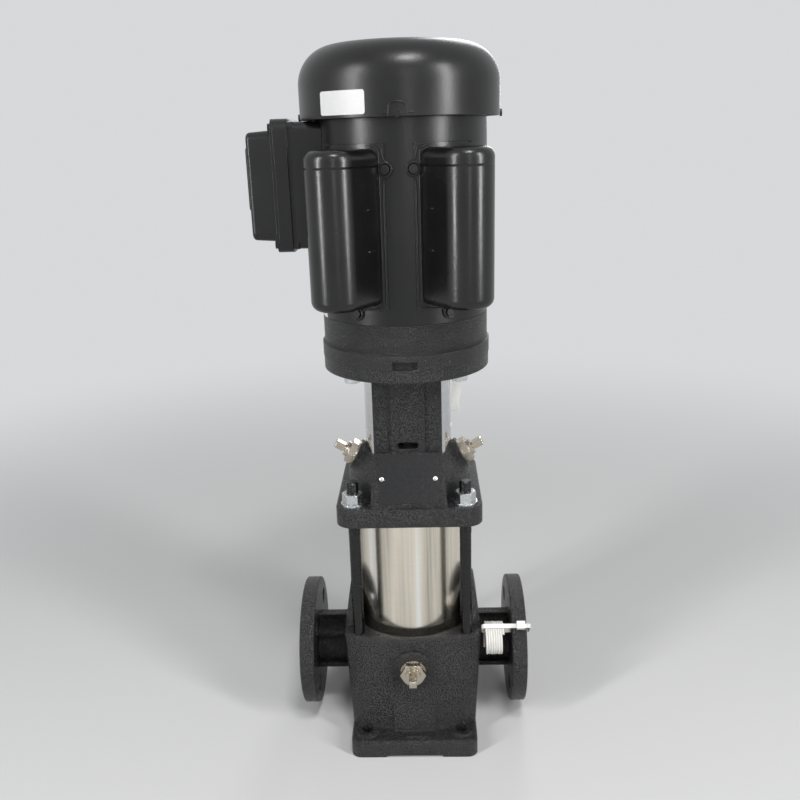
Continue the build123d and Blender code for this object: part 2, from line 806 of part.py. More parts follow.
with BuildPart() as spindle:
    Cylinder(spindle_diameter / 2, plug_thread_length + spindle_neck + 2,
             align=(Align.CENTER, Align.CENTER, Align.MIN))
    chamfer(edges().sort_by(Axis.Z)[0], length=2)
    with Locations((0, 0, plug_thread_length + spindle_neck + 2)):
        Box(spindle_head_flats, spindle_head_flats, spindle_head_length,
            align=(Align.CENTER, Align.CENTER, Align.MIN))
    chamfer(faces().sort_by(Axis.Z)[-1].edges(), length=1)
    with BuildSketch(Plane.XY.offset(plug_thread_length + 2 + ring_place - ring_section / 2)):
        Circle(spindle_diameter)
        Circle(spindle_diameter / 2 - ring_section / 2, mode=Mode.SUBTRACT)
    extrude(amount=ring_section, mode=Mode.SUBTRACT)

with BuildPart() as screw_plugs:
    with Locations(drain_plane, *vent_planes):
        add(screw_plug.part)
solid_of(screw_plugs, "screw_plugs")

with BuildPart() as plug_washers:
    for plug_plane in (drain_plane, *vent_planes):
        with BuildSketch(plug_plane):
            Circle(plug_washer_diameter / 2)
            Circle(plug_thread / 2 + thread_gap, mode=Mode.SUBTRACT)
        extrude(amount=plug_washer_thickness)
solid_of(plug_washers, "plug_washers")

spindle_names = {"bypass_spindle": drain_plane, "vent_spindle_left": vent_planes[0],
                 "vent_spindle_right": vent_planes[1]}
for name, plug_plane in spindle_names.items():
    with BuildPart() as placed_spindle:
        with Locations(plug_plane.offset(-plug_thread_length - 2)):
            add(spindle.part)
    solid_of(placed_spindle, name)
    with BuildPart() as spindle_ring:
        with Locations(plug_plane.offset(ring_place)):
            Torus(spindle_diameter / 2, ring_section / 2 - fit_gap)
    solid_of(spindle_ring, f"{name}_o_ring")

# ------------------------------------------------------------------- wet end
stage_radius = stage_diameter / 2
neck_radius = impeller_neck / 2
hub_start = impeller_lift + stage_sheet

# Inlet part: stands on the suction well and carries the first stage.
with BuildPart() as inlet_part:
    with BuildSketch(Plane.XZ):
        with BuildLine():
            Polyline(
                (suction_well + 1, sleeve_seat - 2),
                (suction_wall, sleeve_seat - 2),
                (stage_radius, stage_low - 8),
                (stage_radius, stage_low),
                (neck_radius + running_gap, stage_low),
                (neck_radius + running_gap, stage_low - stage_sheet),
                (stage_radius - stage_sheet - 1, stage_low - stage_sheet),
                (stage_radius - stage_sheet - 1, stage_low - 7),
                (suction_well + 1, sleeve_seat + 3),
                close=True,
            )
        make_face()
    revolve(axis=Axis.Z)
solid_of(inlet_part, "inlet_part")


def curved_blade(start_radius, end_radius, sweep_angle, sheet):
    # blade bounded by two arcs that share their ends' directions
    def point(radius, angle):
        return (radius * math.cos(math.radians(angle)), radius * math.sin(math.radians(angle)))

    middle = (start_radius + end_radius) / 2
    half = math.degrees(sheet / 2 / middle)
    half_in = math.degrees(sheet / 2 / start_radius)
    half_out = math.degrees(sheet / 2 / end_radius)
    bend = sweep_angle * 0.38
    with BuildSketch(mode=Mode.PRIVATE) as plan:
        with BuildLine():
            ThreePointArc(point(start_radius, -half_in), point(middle, bend - half),
                          point(end_radius, sweep_angle - half_out))
            Line(point(end_radius, sweep_angle - half_out), point(end_radius, sweep_angle + half_out))
            ThreePointArc(point(end_radius, sweep_angle + half_out), point(middle, bend + half),
                          point(start_radius, half_in))
            Line(point(start_radius, half_in), point(start_radius, -half_in))
        make_face()
    return plan.sketch


for stage in range(stages):
    low = stage_low + stage * stage_pitch
    high = low + stage_pitch
    with BuildPart() as chamber:
        # shell, guide disc and the floor of the next stage
        with BuildSketch(Plane.XY.offset(low)):
            Circle(stage_radius)
            Circle(stage_radius - stage_sheet, mode=Mode.SUBTRACT)
        extrude(amount=stage_pitch)
        with BuildSketch(Plane.XY.offset(high - stage_sheet)):
            Circle(stage_radius - stage_sheet / 2)
            Circle(neck_radius + running_gap, mode=Mode.SUBTRACT)
        extrude(amount=stage_sheet)
        with BuildSketch(Plane.XY.offset(low + guide_disc_height)):
            Circle(guide_disc_diameter / 2)
            Circle(impeller_hub / 2 + 1, mode=Mode.SUBTRACT)
        extrude(amount=stage_sheet)
        # return vanes lead the water back to the next eye
        with BuildSketch(Plane.XY.offset(low + guide_disc_height + stage_sheet / 2)):
            with PolarLocations(0, stage_vanes):
                add(curved_blade(neck_radius + 2, stage_radius - stage_sheet / 2, 48, vane_sheet))
        extrude(amount=stage_pitch - guide_disc_height - stage_sheet)
    solid_of(chamber, f"chamber_{stage + 1}")

    shroud = low + impeller_lift
    with BuildPart() as impeller:
        # suction neck, lower shroud, blades, upper shroud and hub
        with BuildSketch(Plane.XY.offset(low - stage_sheet)):
            Circle(neck_radius)
            Circle(impeller_eye / 2, mode=Mode.SUBTRACT)
        extrude(amount=impeller_lift + stage_sheet)
        with BuildSketch(Plane.XY.offset(shroud)):
            Circle(impeller_diameter / 2)
            Circle(impeller_eye / 2, mode=Mode.SUBTRACT)
        extrude(amount=stage_sheet)
        with BuildSketch(Plane.XY.offset(shroud + stage_sheet / 2)):
            with PolarLocations(0, impeller_blades):
                add(curved_blade(impeller_eye / 2 + 1, impeller_diameter / 2, -70, vane_sheet))
        extrude(amount=impeller_width + stage_sheet)
        with BuildSketch(Plane.XY.offset(shroud + stage_sheet + impeller_width)):
            Circle(impeller_diameter / 2)
        extrude(amount=stage_sheet)
        with BuildSketch(Plane.XY.offset(low + hub_start)):
            Circle(impeller_hub / 2)
        extrude(amount=stage_pitch)
        with BuildSketch(Plane.XY.offset(low - stage_sheet)):
            Circle(shaft_radius + fit_gap)
        extrude(amount=stage_pitch + 10, mode=Mode.SUBTRACT)
    solid_of(impeller, f"impeller_{stage + 1}")

# Straps hold the stack of chambers together.
with BuildPart() as chamber_straps:
    with BuildSketch(Plane.XY.offset(stage_low - 6)):
        with PolarLocations(stage_radius + strap_sheet / 2 + seat_gap, straps, start_angle=45):
            Rectangle(strap_sheet, strap_width)
    extrude(amount=stage_high - stage_low + 6 + strap_sheet)
    with BuildSketch(Plane.XY.offset(stage_high)):
        with PolarLocations(stage_radius - 2, straps, start_angle=45):
            Rectangle(6, strap_width)
    extrude(amount=strap_sheet)
solid_of(chamber_straps, "chamber_straps")

# Pump shaft: foot collar under the impellers, collar under the seal spring.
shaft_low = stage_low + hub_start - shaft_foot
seal_seat_low = head_top + dome_cavity_height
spring_low = seal_seat_low - seal_ring_height - seal_spring_height
with BuildPart() as pump_shaft:
    with BuildSketch(Plane.XY.offset(shaft_low)):
        Circle(shaft_radius)
    extrude(amount=coupling_mid - shaft_low - 0.5)
    with BuildSketch(Plane.XY.offset(stage_low + hub_start - 5)):
        Circle(shaft_collar / 2)
    extrude(amount=5)
    with BuildSketch(Plane.XY.offset(spring_low - 4)):
        Circle(shaft_collar / 2 + 3)
    extrude(amount=4)
    chamfer(faces().sort_by(Axis.Z)[0].edges(), length=1)
solid_of(pump_shaft, "pump_shaft")

# ---------------------------------------------------------------- shaft seal
with BuildPart() as seal_nut:
    with BuildSketch(Plane.XY.offset(seal_seat_low + 2)):
        Circle(seal_bore / 2)
    extrude(amount=dome_top + stool_floor - seal_seat_low - 2)
    with Locations((0, 0, dome_top + stool_floor)):
        add(hex_head(seal_nut_flats, seal_nut_height, 0.5))
    with BuildSketch(Plane.XY.offset(seal_seat_low + 2)):
        Circle(shaft_radius + 1)
    extrude(amount=60, mode=Mode.SUBTRACT)
    with BuildSketch(Plane.XY.offset(seal_seat_low + 2)):
        Circle(seal_seat_diameter / 2 + seat_gap)
    extrude(amount=seal_seat_height - 2, mode=Mode.SUBTRACT)
solid_of(seal_nut, "seal_nut")

with BuildPart() as seal_seat:
    with BuildSketch(Plane.XY.offset(seal_seat_low)):
        Circle(seal_seat_diameter / 2)
        Circle(shaft_radius + 1, mode=Mode.SUBTRACT)
    extrude(amount=seal_seat_height)
solid_of(seal_seat, "seal_seat")

with BuildPart() as seal_ring:
    with BuildSketch(Plane.XY.offset(seal_seat_low - seal_ring_height)):
        Circle(seal_ring_diameter / 2)
        Circle(shaft_radius + fit_gap, mode=Mode.SUBTRACT)
    extrude(amount=seal_ring_height - running_gap)
solid_of(seal_ring, "seal_ring")

with BuildPart() as seal_spring:
    with BuildLine():
        Helix(
            pitch=(seal_spring_height - seal_spring_wire) / 3,
            height=seal_spring_height - seal_spring_wire - 2 * fit_gap,
            radius=shaft_collar / 2,
            center=(0, 0, spring_low + seal_spring_wire / 2 + fit_gap),
        )
    with BuildSketch(Plane(origin=(shaft_collar / 2, 0, spring_low + seal_spring_wire / 2 + fit_gap),
                           z_dir=(0, 1, 0))):
        Circle(seal_spring_wire / 2)
    sweep(is_frenet=True)
solid_of(seal_spring, "seal_spring")

# ----------------------------------------------------------------- coupling
pump_bore = shaft_radius + fit_gap
motor_bore = motor_shaft_end / 2 + fit_gap
for side, name in ((-1, "front"), (1, "back")):
    with BuildPart() as coupling_half:
        with BuildSketch(Plane.XY.offset(coupling_low)):
            Circle(coupling_diameter / 2)
            with Locations((0, -side * (coupling_diameter - coupling_split) / 2)):
                Rectangle(coupling_diameter + 2, coupling_diameter, mode=Mode.SUBTRACT)
        extrude(amount=coupling_height)
        chamfer(faces().filter_by(Plane.XY).edges().filter_by(GeomType.CIRCLE), length=1)
        with BuildSketch(Plane.XY.offset(coupling_low)):
            Circle(pump_bore)
        extrude(amount=coupling_height / 2, mode=Mode.SUBTRACT)
        with BuildSketch(Plane.XY.offset(coupling_mid)):
            Circle(motor_bore)
        extrude(amount=coupling_height / 2, mode=Mode.SUBTRACT)
        with BuildSketch(Plane.XZ):
            with Locations((0, coupling_mid)):
                with GridLocations(coupling_screw_spacing, coupling_screw_rise, 2, 2):
                    Circle(coupling_screw_diameter / 2 + thread_gap)
        extrude(amount=coupling_diameter, both=True, mode=Mode.SUBTRACT)
        with BuildSketch(Plane.XZ.offset(coupling_screw_length / 2)):
            with Locations((0, coupling_mid)):
                with GridLocations(coupling_screw_spacing, coupling_screw_rise, 2, 2):
                    Circle(coupling_screw_head / 2 + 0.5)
        extrude(amount=coupling_diameter, mode=Mode.SUBTRACT)
    solid_of(coupling_half, f"coupling_half_{name}")

with BuildPart() as coupling_screws:
    with BuildSketch(Plane.XZ.offset(coupling_screw_length / 2)):
        with Locations((0, coupling_mid)):
            with GridLocations(coupling_screw_spacing, coupling_screw_rise, 2, 2):
                Circle(coupling_screw_head / 2)
    extrude(amount=coupling_screw_head_height)
    with BuildSketch(Plane.XZ.offset(coupling_screw_length / 2)):
        with Locations((0, coupling_mid)):
            with GridLocations(coupling_screw_spacing, coupling_screw_rise, 2, 2):
                Circle(coupling_screw_diameter / 2)
    extrude(amount=-coupling_screw_length)
solid_of(coupling_screws, "coupling_screws")

# --------------------------------------------------------- motor, stationary
bell_radius = bell_diameter / 2
bearing_low = motor_foot + bell_floor - 2
fan_bearing_low = shell_top - 1
bearing_seat = bearing_outer / 2 + seat_gap
with BuildPart() as drive_end_bell:
    with BuildSketch(Plane.XZ):
        with BuildLine():
            Polyline(
                (bearing_outer / 2 - 4, motor_foot),
                (motor_spigot / 2 - 6, motor_foot),
                (motor_spigot / 2 - 6, motor_foot - motor_spigot_height),
                (motor_spigot / 2, motor_foot - motor_spigot_height),
                (motor_spigot / 2, motor_foot),
                (bell_flange_diameter / 2, motor_foot),
                (bell_flange_diameter / 2, motor_foot + bell_flange_height - 1),
                (bell_radius, motor_foot + bell_flange_height),
                (bell_radius, shell_low),
                (motor_radius - motor_wall - seat_gap, shell_low),
                (motor_radius - motor_wall - seat_gap, shell_low + 5),
                (bell_radius - bell_wall, shell_low + 5),
                (bell_radius - bell_wall, motor_foot + bell_flange_height + 4),
                (bearing_seat + 5, motor_foot + bell_flange_height + 4),
                (bearing_seat + 5, bearing_low + bearing_width),
                (bearing_seat, bearing_low + bearing_width),
                (bearing_seat, bearing_low),
                (bearing_outer / 2 - 4, bearing_low),
                close=True,
            )
        make_face()
    revolve(axis=Axis.Z)
    with BuildSketch(Plane.XY.offset(motor_foot)):
        with PolarLocations(motor_bolt_circle / 2, 4, start_angle=45):
            Circle(motor_bolt_diameter / 2 + thread_gap)
    extrude(amount=motor_bolt_depth - stool_flange_thickness + 1, mode=Mode.SUBTRACT)
    with BuildSketch(Plane.XY.offset(motor_foot)):
        with Locations((0, -bell_flange_diameter / 2)):
            Rectangle(2 * bell_notch_half_width, 2 * bell_notch_depth)
    extrude(amount=bell_notch_height, mode=Mode.SUBTRACT)
solid_of(drive_end_bell, "drive_end_bell")

# Capacitor covers sit on the shell, so their screw ears are placed here.
cap_low = shell_low + cap_cover_low
shell_face = motor_radius + seat_gap


def ear_planes(side):
    # screw ears: one on the inner edge, one below, one outside, all square to the shell
    planes = []
    for azimuth, rise in cap_ear_places:
        angle = math.radians(azimuth)
        outward = Vector(side * math.sin(angle), -math.cos(angle), 0)
        ear_height = Vector(0, 0, cap_low + rise)
        planes.append(Plane(origin=outward * shell_face + ear_height, z_dir=outward))
    return planes


with BuildPart() as motor_shell:
    with BuildSketch(Plane.XY.offset(shell_low)):
        Circle(motor_radius)
        Circle(motor_radius - motor_wall, mode=Mode.SUBTRACT)
    extrude(amount=shell_height)
    for side in (-1, 1):
        for ear in ear_planes(side):
            with BuildSketch(ear.offset(1)):
                Circle(cover_screw_diameter / 2 + thread_gap)
            extrude(amount=-motor_wall - 3, mode=Mode.SUBTRACT)
solid_of(motor_shell, "motor_shell")

shell_bore = motor_radius - motor_wall - seat_gap
with BuildPart() as fan_end_bell:
    with BuildSketch(Plane.XZ):
        with BuildLine():
            Polyline(
                (rotor_shaft / 2 - 2, fan_bearing_low + bearing_width + 2),
                (rotor_shaft / 2 - 2, fan_bearing_low + bearing_width),
                (bearing_seat, fan_bearing_low + bearing_width),
                (bearing_seat, fan_bearing_low),
                (bearing_seat + 5, fan_bearing_low),
                (bearing_seat + 5, shell_top),
                (shell_bore, shell_top - 5),
                (shell_bore, shell_top),
                (motor_radius, shell_top),
                (motor_radius, shell_top + fan_bell_floor),
                (bearing_seat + 10, shell_top + fan_bell_height),
                (bearing_seat + 5, fan_bearing_low + bearing_width + 2),
                close=True,
            )
        make_face()
    revolve(axis=Axis.Z)
solid_of(fan_end_bell, "fan_end_bell")

core_low = shell_low + core_rise
core_high = core_low + core_height
with BuildPart() as stator_core:
    with BuildSketch(Plane.XY.offset(core_low)):
        Circle(shell_bore)
        Circle(core_bore / 2, mode=Mode.SUBTRACT)
        with PolarLocations(core_bore / 2 + 1 + core_slot_depth / 2, core_slots):
            Rectangle(core_slot_depth, core_slot_width, mode=Mode.SUBTRACT)
    extrude(amount=core_height)
solid_of(stator_core, "stator_core")

# Windings: bars in the slots joined by a ring of end turns at both ends.
with BuildPart() as stator_windings:
    with BuildSketch(Plane.XY.offset(core_low)):
        with PolarLocations(core_bore / 2 + 1 + core_slot_depth / 2, core_slots):
            Rectangle(core_slot_depth - 2 * seat_gap, core_slot_width - 2 * seat_gap)
    extrude(amount=core_height)
    for low in (core_low - winding_height, core_high):
        with BuildSketch(Plane.XY.offset(low)):
            Circle(winding_outer - 8)
            Circle(winding_inner - 4, mode=Mode.SUBTRACT)
        extrude(amount=winding_height)
solid_of(stator_windings, "stator_windings")

with BuildPart() as motor_bolts:
    with Locations((0, 0, stool_top)):
        with PolarLocations(motor_bolt_circle / 2, 4, start_angle=45):
            with Locations(Rotation(180, 0, 0)):
                add(hex_head(motor_bolt_flats, motor_bolt_head, 0.5))
    with BuildSketch(Plane.XY.offset(stool_top)):
        with PolarLocations(motor_bolt_circle / 2, 4, start_angle=45):
            Circle(motor_bolt_diameter / 2)
    extrude(amount=motor_bolt_depth)
solid_of(motor_bolts, "motor_bolts")

# ------------------------------------------------------------ motor, turning
bearing_radius = bearing_inner / 2
bearing_places = (bearing_low, fan_bearing_low)
with BuildPart() as bearing_outer_rings:
    for low in bearing_places:
        with BuildSketch(Plane.XY.offset(low)):
            Circle(bearing_outer / 2)
            Circle(bearing_outer / 2 - bearing_race, mode=Mode.SUBTRACT)
        extrude(amount=bearing_width)
solid_of(bearing_outer_rings, "bearing_outer_rings")

with BuildPart() as bearing_inner_rings:
    for low in bearing_places:
        with BuildSketch(Plane.XY.offset(low)):
            Circle(bearing_radius + bearing_race - 0.5)
            Circle(bearing_radius + fit_gap, mode=Mode.SUBTRACT)
        extrude(amount=bearing_width)
solid_of(bearing_inner_rings, "bearing_inner_rings")

ball_circle = (bearing_radius + bearing_race - 0.5 + bearing_outer / 2 - bearing_race) / 2
with BuildPart() as bearing_cages:
    for low in bearing_places:
        with Locations((0, 0, low + bearing_width / 2)):
            with PolarLocations(ball_circle, bearing_balls):
                Sphere(bearing_ball / 2)
        with BuildSketch(Plane.XY.offset(low + bearing_width / 2 - 1.5)):
            Circle(ball_circle + 0.6)
            Circle(ball_circle - 0.6, mode=Mode.SUBTRACT)
        extrude(amount=3)
solid_of(bearing_cages, "bearing_cages")

fan_low = fan_bearing_low + bearing_width + fan_lift
with BuildPart() as motor_shaft:
    with BuildSketch(Plane.XY.offset(coupling_mid + 0.5)):
        Circle(motor_shaft_end / 2)
    extrude(amount=bearing_low - coupling_mid - 2.5)
    with BuildSketch(Plane.XY.offset(bearing_low - 2)):
        Circle(bearing_radius)
    extrude(amount=fan_low + fan_height - bearing_low)
    with BuildSketch(Plane.XY.offset(bearing_low + bearing_width)):
        Circle(rotor_shaft / 2)
    extrude(amount=fan_bearing_low - bearing_low - bearing_width)
solid_of(motor_shaft, "motor_shaft")

with BuildPart() as rotor_core:
    with BuildSketch(Plane.XY.offset(core_low)):
        Circle(core_bore / 2 - air_gap)
        Circle(rotor_shaft / 2 + fit_gap, mode=Mode.SUBTRACT)
    extrude(amount=core_height)
    for low in (core_low - 6, core_high):
        with BuildSketch(Plane.XY.offset(low)):
            Circle(core_bore / 2 - air_gap - 1)
            Circle(core_bore / 2 - 14, mode=Mode.SUBTRACT)
        extrude(amount=6)
solid_of(rotor_core, "rotor_core")

with BuildPart() as cooling_fan:
    with BuildSketch(Plane.XY.offset(fan_low)):
        Circle(fan_diameter / 2)
    extrude(amount=fan_plate)
    with BuildSketch(Plane.XY.offset(fan_low)):
        Circle(fan_hub / 2)
    extrude(amount=fan_height - 4)
    with BuildSketch(Plane.XY.offset(fan_low)):
        with PolarLocations(fan_hub / 2 - 1, fan_blades):
            with Locations(((fan_diameter - fan_hub) / 4, 0)):
                Rectangle((fan_diameter - fan_hub) / 2, 2.2)
    extrude(amount=fan_height)
    with BuildSketch(Plane.XY.offset(fan_low)):
        Circle(bearing_radius + fit_gap)
    extrude(amount=fan_height, mode=Mode.SUBTRACT)
solid_of(cooling_fan, "cooling_fan")

# ---------------------------------------------------------------- fan cover
cover_radius = fan_cover_diameter / 2
cover_top = shell_top + fan_cover_height


def cover_profile(inset):
    # half section of the fan cover: straight skirt, large corner, low crown
    outer = cover_radius - inset
    top = cover_top - inset
    corner = fan_cover_corner - inset
    skirt_top = top - fan_cover_crown - corner
    with BuildSketch(Plane.XZ, mode=Mode.PRIVATE) as profile:
        with BuildLine():
            Line((0, shell_top), (outer, shell_top))
            Line((outer, shell_top), (outer, skirt_top))
            ThreePointArc(
                (outer, skirt_top),
                (outer - corner * (1 - math.sqrt(0.5)), skirt_top + corner * math.sqrt(0.5)),
                (outer - corner, skirt_top + corner),
            )
            Spline((outer - corner, skirt_top + corner), (0, top), tangents=((-1, 0), (-1, 0)))
            Line((0, top), (0, shell_top))
        make_face()
    return profile.sketch


with BuildPart() as fan_cover:
    with BuildSketch(Plane.XZ):
        add(cover_profile(0))
        add(cover_profile(fan_cover_wall), mode=Mode.SUBTRACT)
    revolve(axis=Axis.Z)
    # lugs that reach in to the fan end bell at the four screws
    with BuildSketch(Plane.XY.offset(shell_top)):
        with PolarLocations((motor_radius + cover_radius) / 2, 4, start_angle=-90):
            Rectangle(cover_radius - motor_radius - 1, 12)
    extrude(amount=fan_bell_floor)
    # rings of air slots in the crown
    with BuildSketch(Plane.XY.offset(cover_top - 15)):
        for ring_radius in fan_slot_rings:
            count = round(ring_radius / 5)
            with PolarLocations(ring_radius, count):
                SlotOverall(11, fan_slot_width, rotation=90)
    extrude(amount=20, mode=Mode.SUBTRACT)
    # screw holes in the skirt and lugs
    for turn in range(4):
        with BuildSketch(Plane(origin=(0, 0, shell_top + fan_bell_floor / 2),
                               z_dir=(math.cos(turn * math.pi / 2), math.sin(turn * math.pi / 2), 0))):
            Circle(cover_screw_diameter / 4 + 0.4)
        extrude(amount=cover_radius + 5, mode=Mode.SUBTRACT)
solid_of(fan_cover, "fan_cover")

with BuildPart() as fan_cover_screws:
    for turn in range(4):
        angle = turn * math.pi / 2
        screw_axis = Plane(
            origin=(cover_radius * math.cos(angle), cover_radius * math.sin(angle),
                    shell_top + fan_bell_floor / 2),
            z_dir=(math.cos(angle), math.sin(angle), 0),
        )
        with BuildSketch(screw_axis):
            Circle(cover_screw_head / 2 - 0.5)
        extrude(amount=2.0)
        with BuildSketch(screw_axis):
            Circle(cover_screw_diameter / 4)
        extrude(amount=-cover_screw_length)
solid_of(fan_cover_screws, "fan_cover_screws")

# --------------------------------------------------- capacitors, their covers


def cap_outline(side, inset):
    # plan outline: capacitor barrel joined to two toes at the motor shell
    with BuildSketch(mode=Mode.PRIVATE) as outline:
        with Locations((side * cap_offset_x, -cap_offset_y)):
            Circle(cap_radius - inset)
        with Locations((side * cap_inner_x, -cap_inner_y)):
            Circle(cap_toe - inset)
        with Locations((side * cap_outer_x, -cap_outer_y)):
            Circle(cap_toe + 3 - inset)
        make_hull()
    return outline.sketch


def cap_block(side, inset):
    # the cover's rounded body, or with an inset the room inside it
    with BuildPart(mode=Mode.PRIVATE) as block:
        with BuildSketch(Plane.XY.offset(cap_low + inset)):
            add(cap_outline(side, inset))
        extrude(amount=cap_cover_height - 2 * inset)
        fillet(faces().filter_by(Plane.XY).edges(), radius=cap_edge - inset)
    return block.part


for side, name in ((-1, "left"), (1, "right")):
    with BuildPart() as capacitor_cover:
        add(cap_block(side, 0))
        # mounting flange rolled to the shell, with screw ears
        with BuildSketch(Plane.XY.offset(cap_low - cap_flange_margin)):
            Circle(shell_face + cap_flange_sheet)
            reach = 2 * shell_face
            start = math.radians(cap_flange_start)
            end = math.radians(cap_flange_end)
            with BuildLine():
                Polyline(
                    (0, 0),
                    (side * reach * math.sin(start), -reach * math.cos(start)),
                    (side * reach * math.sin(end), -reach * math.cos(end)),
                    close=True,
                )
            make_face(mode=Mode.INTERSECT)
        extrude(amount=cap_cover_height + 2 * cap_flange_margin)
        for ear in ear_planes(side):
            with BuildSketch(ear.offset(-10)):
                Circle(cap_ear)
            extrude(amount=10 + cap_flange_sheet)
        # room for the shell and the capacitor
        with BuildSketch(Plane.XY.offset(cap_low - 30)):
            Circle(shell_face)
        extrude(amount=cap_cover_height + 60, mode=Mode.SUBTRACT)
        add(cap_block(side, cap_cover_wall), mode=Mode.SUBTRACT)
        for ear in ear_planes(side):
            with BuildSketch(ear.offset(-5)):
                Circle(cover_screw_diameter / 2 + 0.2)
            extrude(amount=12, mode=Mode.SUBTRACT)
    solid_of(capacitor_cover, f"capacitor_cover_{name}")

with BuildPart() as capacitors:
    for side in (-1, 1):
        with BuildSketch(Plane.XY.offset(cap_low + cap_cover_wall + capacitor_lift)):
            with Locations((side * cap_offset_x, -cap_offset_y)):
                Circle(capacitor_radius)
        extrude(amount=capacitor_height)
    fillet(faces().filter_by(Plane.XY).edges(), radius=capacitor_edge)
solid_of(capacitors, "capacitors")

with BuildPart() as capacitor_screws:
    for side in (-1, 1):
        for ear in ear_planes(side):
            with BuildSketch(ear.offset(cap_flange_sheet)):
                Circle(cover_screw_head / 2)
            extrude(amount=2.2)
            with BuildSketch(ear.offset(cap_flange_sheet)):
                Circle(cover_screw_diameter / 2)
            extrude(amount=-(cap_flange_sheet + seat_gap + motor_wall - 0.2))
solid_of(capacitor_screws, "capacitor_screws")

# -------------------------------------------------------------- terminal box
box_floor = shell_low + box_low
box_rim_depth = box_depth + box_rim_width
box_middle = box_floor + box_height / 2
box_screw_places = []
for y_sign in (-1, 1):
    for z_sign in (-1, 1):
        box_screw_places.append((y_sign * (box_half_width - box_screw_inset),
                                  box_middle + z_sign * (box_height / 2 - box_screw_inset)))
box_plane = Plane(origin=(0, 0, box_middle), x_dir=(0, 1, 0), z_dir=(-1, 0, 0))
with BuildPart() as terminal_box:
    with BuildSketch(box_plane.offset(motor_radius - 16)):
        RectangleRounded(2 * box_half_width, box_height, box_corner)
    extrude(amount=box_depth - motor_radius + 16)
    with BuildSketch(box_plane.offset(box_depth - 0.5)):
        RectangleRounded(2 * (box_half_width + box_rim_proud), box_height + 2 * box_rim_proud,
                         box_corner + box_rim_proud)
    extrude(amount=box_rim_depth - box_depth + 0.5)
    with BuildSketch(Plane.XY.offset(box_floor - 20)):
        Circle(shell_face)
    extrude(amount=box_height + 40, mode=Mode.SUBTRACT)
    with BuildSketch(box_plane.offset(motor_radius - 16)):
        RectangleRounded(2 * (box_half_width - box_wall), box_height - 2 * box_wall,
                         box_corner - box_wall)
    extrude(amount=box_rim_depth, mode=Mode.SUBTRACT)
    # corner posts for the lid screws
    with BuildSketch(box_plane.offset(box_depth - box_post_depth)):
        for y, z in box_screw_places:
            with Locations((y, z - box_middle)):
                Circle(box_post_radius)
    extrude(amount=box_rim_depth - box_depth + box_post_depth)
    with BuildSketch(box_plane.offset(box_depth - box_post_depth)):
        for y, z in box_screw_places:
            with Locations((y, z - box_middle)):
                Circle(box_screw_diameter / 2 + thread_gap)
    extrude(amount=box_rim_depth, mode=Mode.SUBTRACT)
    # conduit hole in the lower wall
    with BuildSketch(Plane.XY.offset(box_floor)):
        with Locations((-(motor_radius + box_depth) / 2, 0)):
            Circle(conduit_hole / 2)
    extrude(amount=box_wall, mode=Mode.SUBTRACT)
solid_of(terminal_box, "terminal_box")

lid_half_width = box_half_width
with BuildPart() as terminal_box_lid:
    with BuildSketch(box_plane.offset(box_rim_depth)):
        RectangleRounded(2 * (box_half_width + box_rim_proud), box_height + 2 * box_rim_proud,
                         box_corner + box_rim_proud)
    extrude(amount=2.5)
    with BuildSketch(box_plane.offset(box_rim_depth)):
        RectangleRounded(2 * lid_half_width - 2 * lid_inset, box_height - 2 * lid_inset, box_corner)
    extrude(amount=lid_depth, taper=4)
    fillet(faces().sort_by(Axis.X)[0].edges(), radius=lid_edge)
    with BuildSketch(box_plane.offset(box_rim_depth + lid_depth - 0.5)):
        with Locations((0, box_floor + lid_panel_low + lid_panel_height / 2 - box_middle)):
            RectangleRounded(2 * lid_half_width - 6 * lid_inset, lid_panel_height, 4)
    extrude(amount=lid_panel + 0.5)
    with BuildSketch(box_plane.offset(box_rim_depth)):
        RectangleRounded(2 * lid_half_width - 2 * lid_inset - 8, box_height - 2 * lid_inset - 8,
                         box_corner - 4)
    extrude(amount=lid_depth - box_wall, mode=Mode.SUBTRACT)
    with BuildSketch(box_plane.offset(box_rim_depth)):
        for y, z in box_screw_places:
            with Locations((y, z - box_middle)):
                Circle(box_screw_diameter / 2 + 0.2)
    extrude(amount=lid_depth, mode=Mode.SUBTRACT)
    with BuildSketch(box_plane.offset(box_rim_depth + 2.5)):
        for y, z in box_screw_places:
            with Locations((y, z - box_middle)):
                Circle(box_screw_head / 2 + 0.8)
    extrude(amount=lid_depth, mode=Mode.SUBTRACT)
solid_of(terminal_box_lid, "terminal_box_lid")

with BuildPart() as terminal_box_screws:
    with BuildSketch(box_plane.offset(box_rim_depth + 2.5)):
        for y, z in box_screw_places:
            with Locations((y, z - box_middle)):
                Circle(box_screw_head / 2)
    extrude(amount=2.6)
    with BuildSketch(box_plane.offset(box_rim_depth + 2.5)):
        for y, z in box_screw_places:
            with Locations((y, z - box_middle)):
                Circle(box_screw_diameter / 2)
    extrude(amount=-box_screw_length)
solid_of(terminal_box_screws, "terminal_box_screws")

# ------------------------------------------- coil and tie at the right flange
with BuildPart() as cord_coil:
    with BuildSketch(Plane.YZ.offset(coil_start)):
        with Locations((-coil_front, coil_height)):
            Circle(coil_radius)
            Circle(coil_radius - coil_wire, mode=Mode.SUBTRACT)
    extrude(amount=coil_length)
solid_of(cord_coil, "cord_coil")

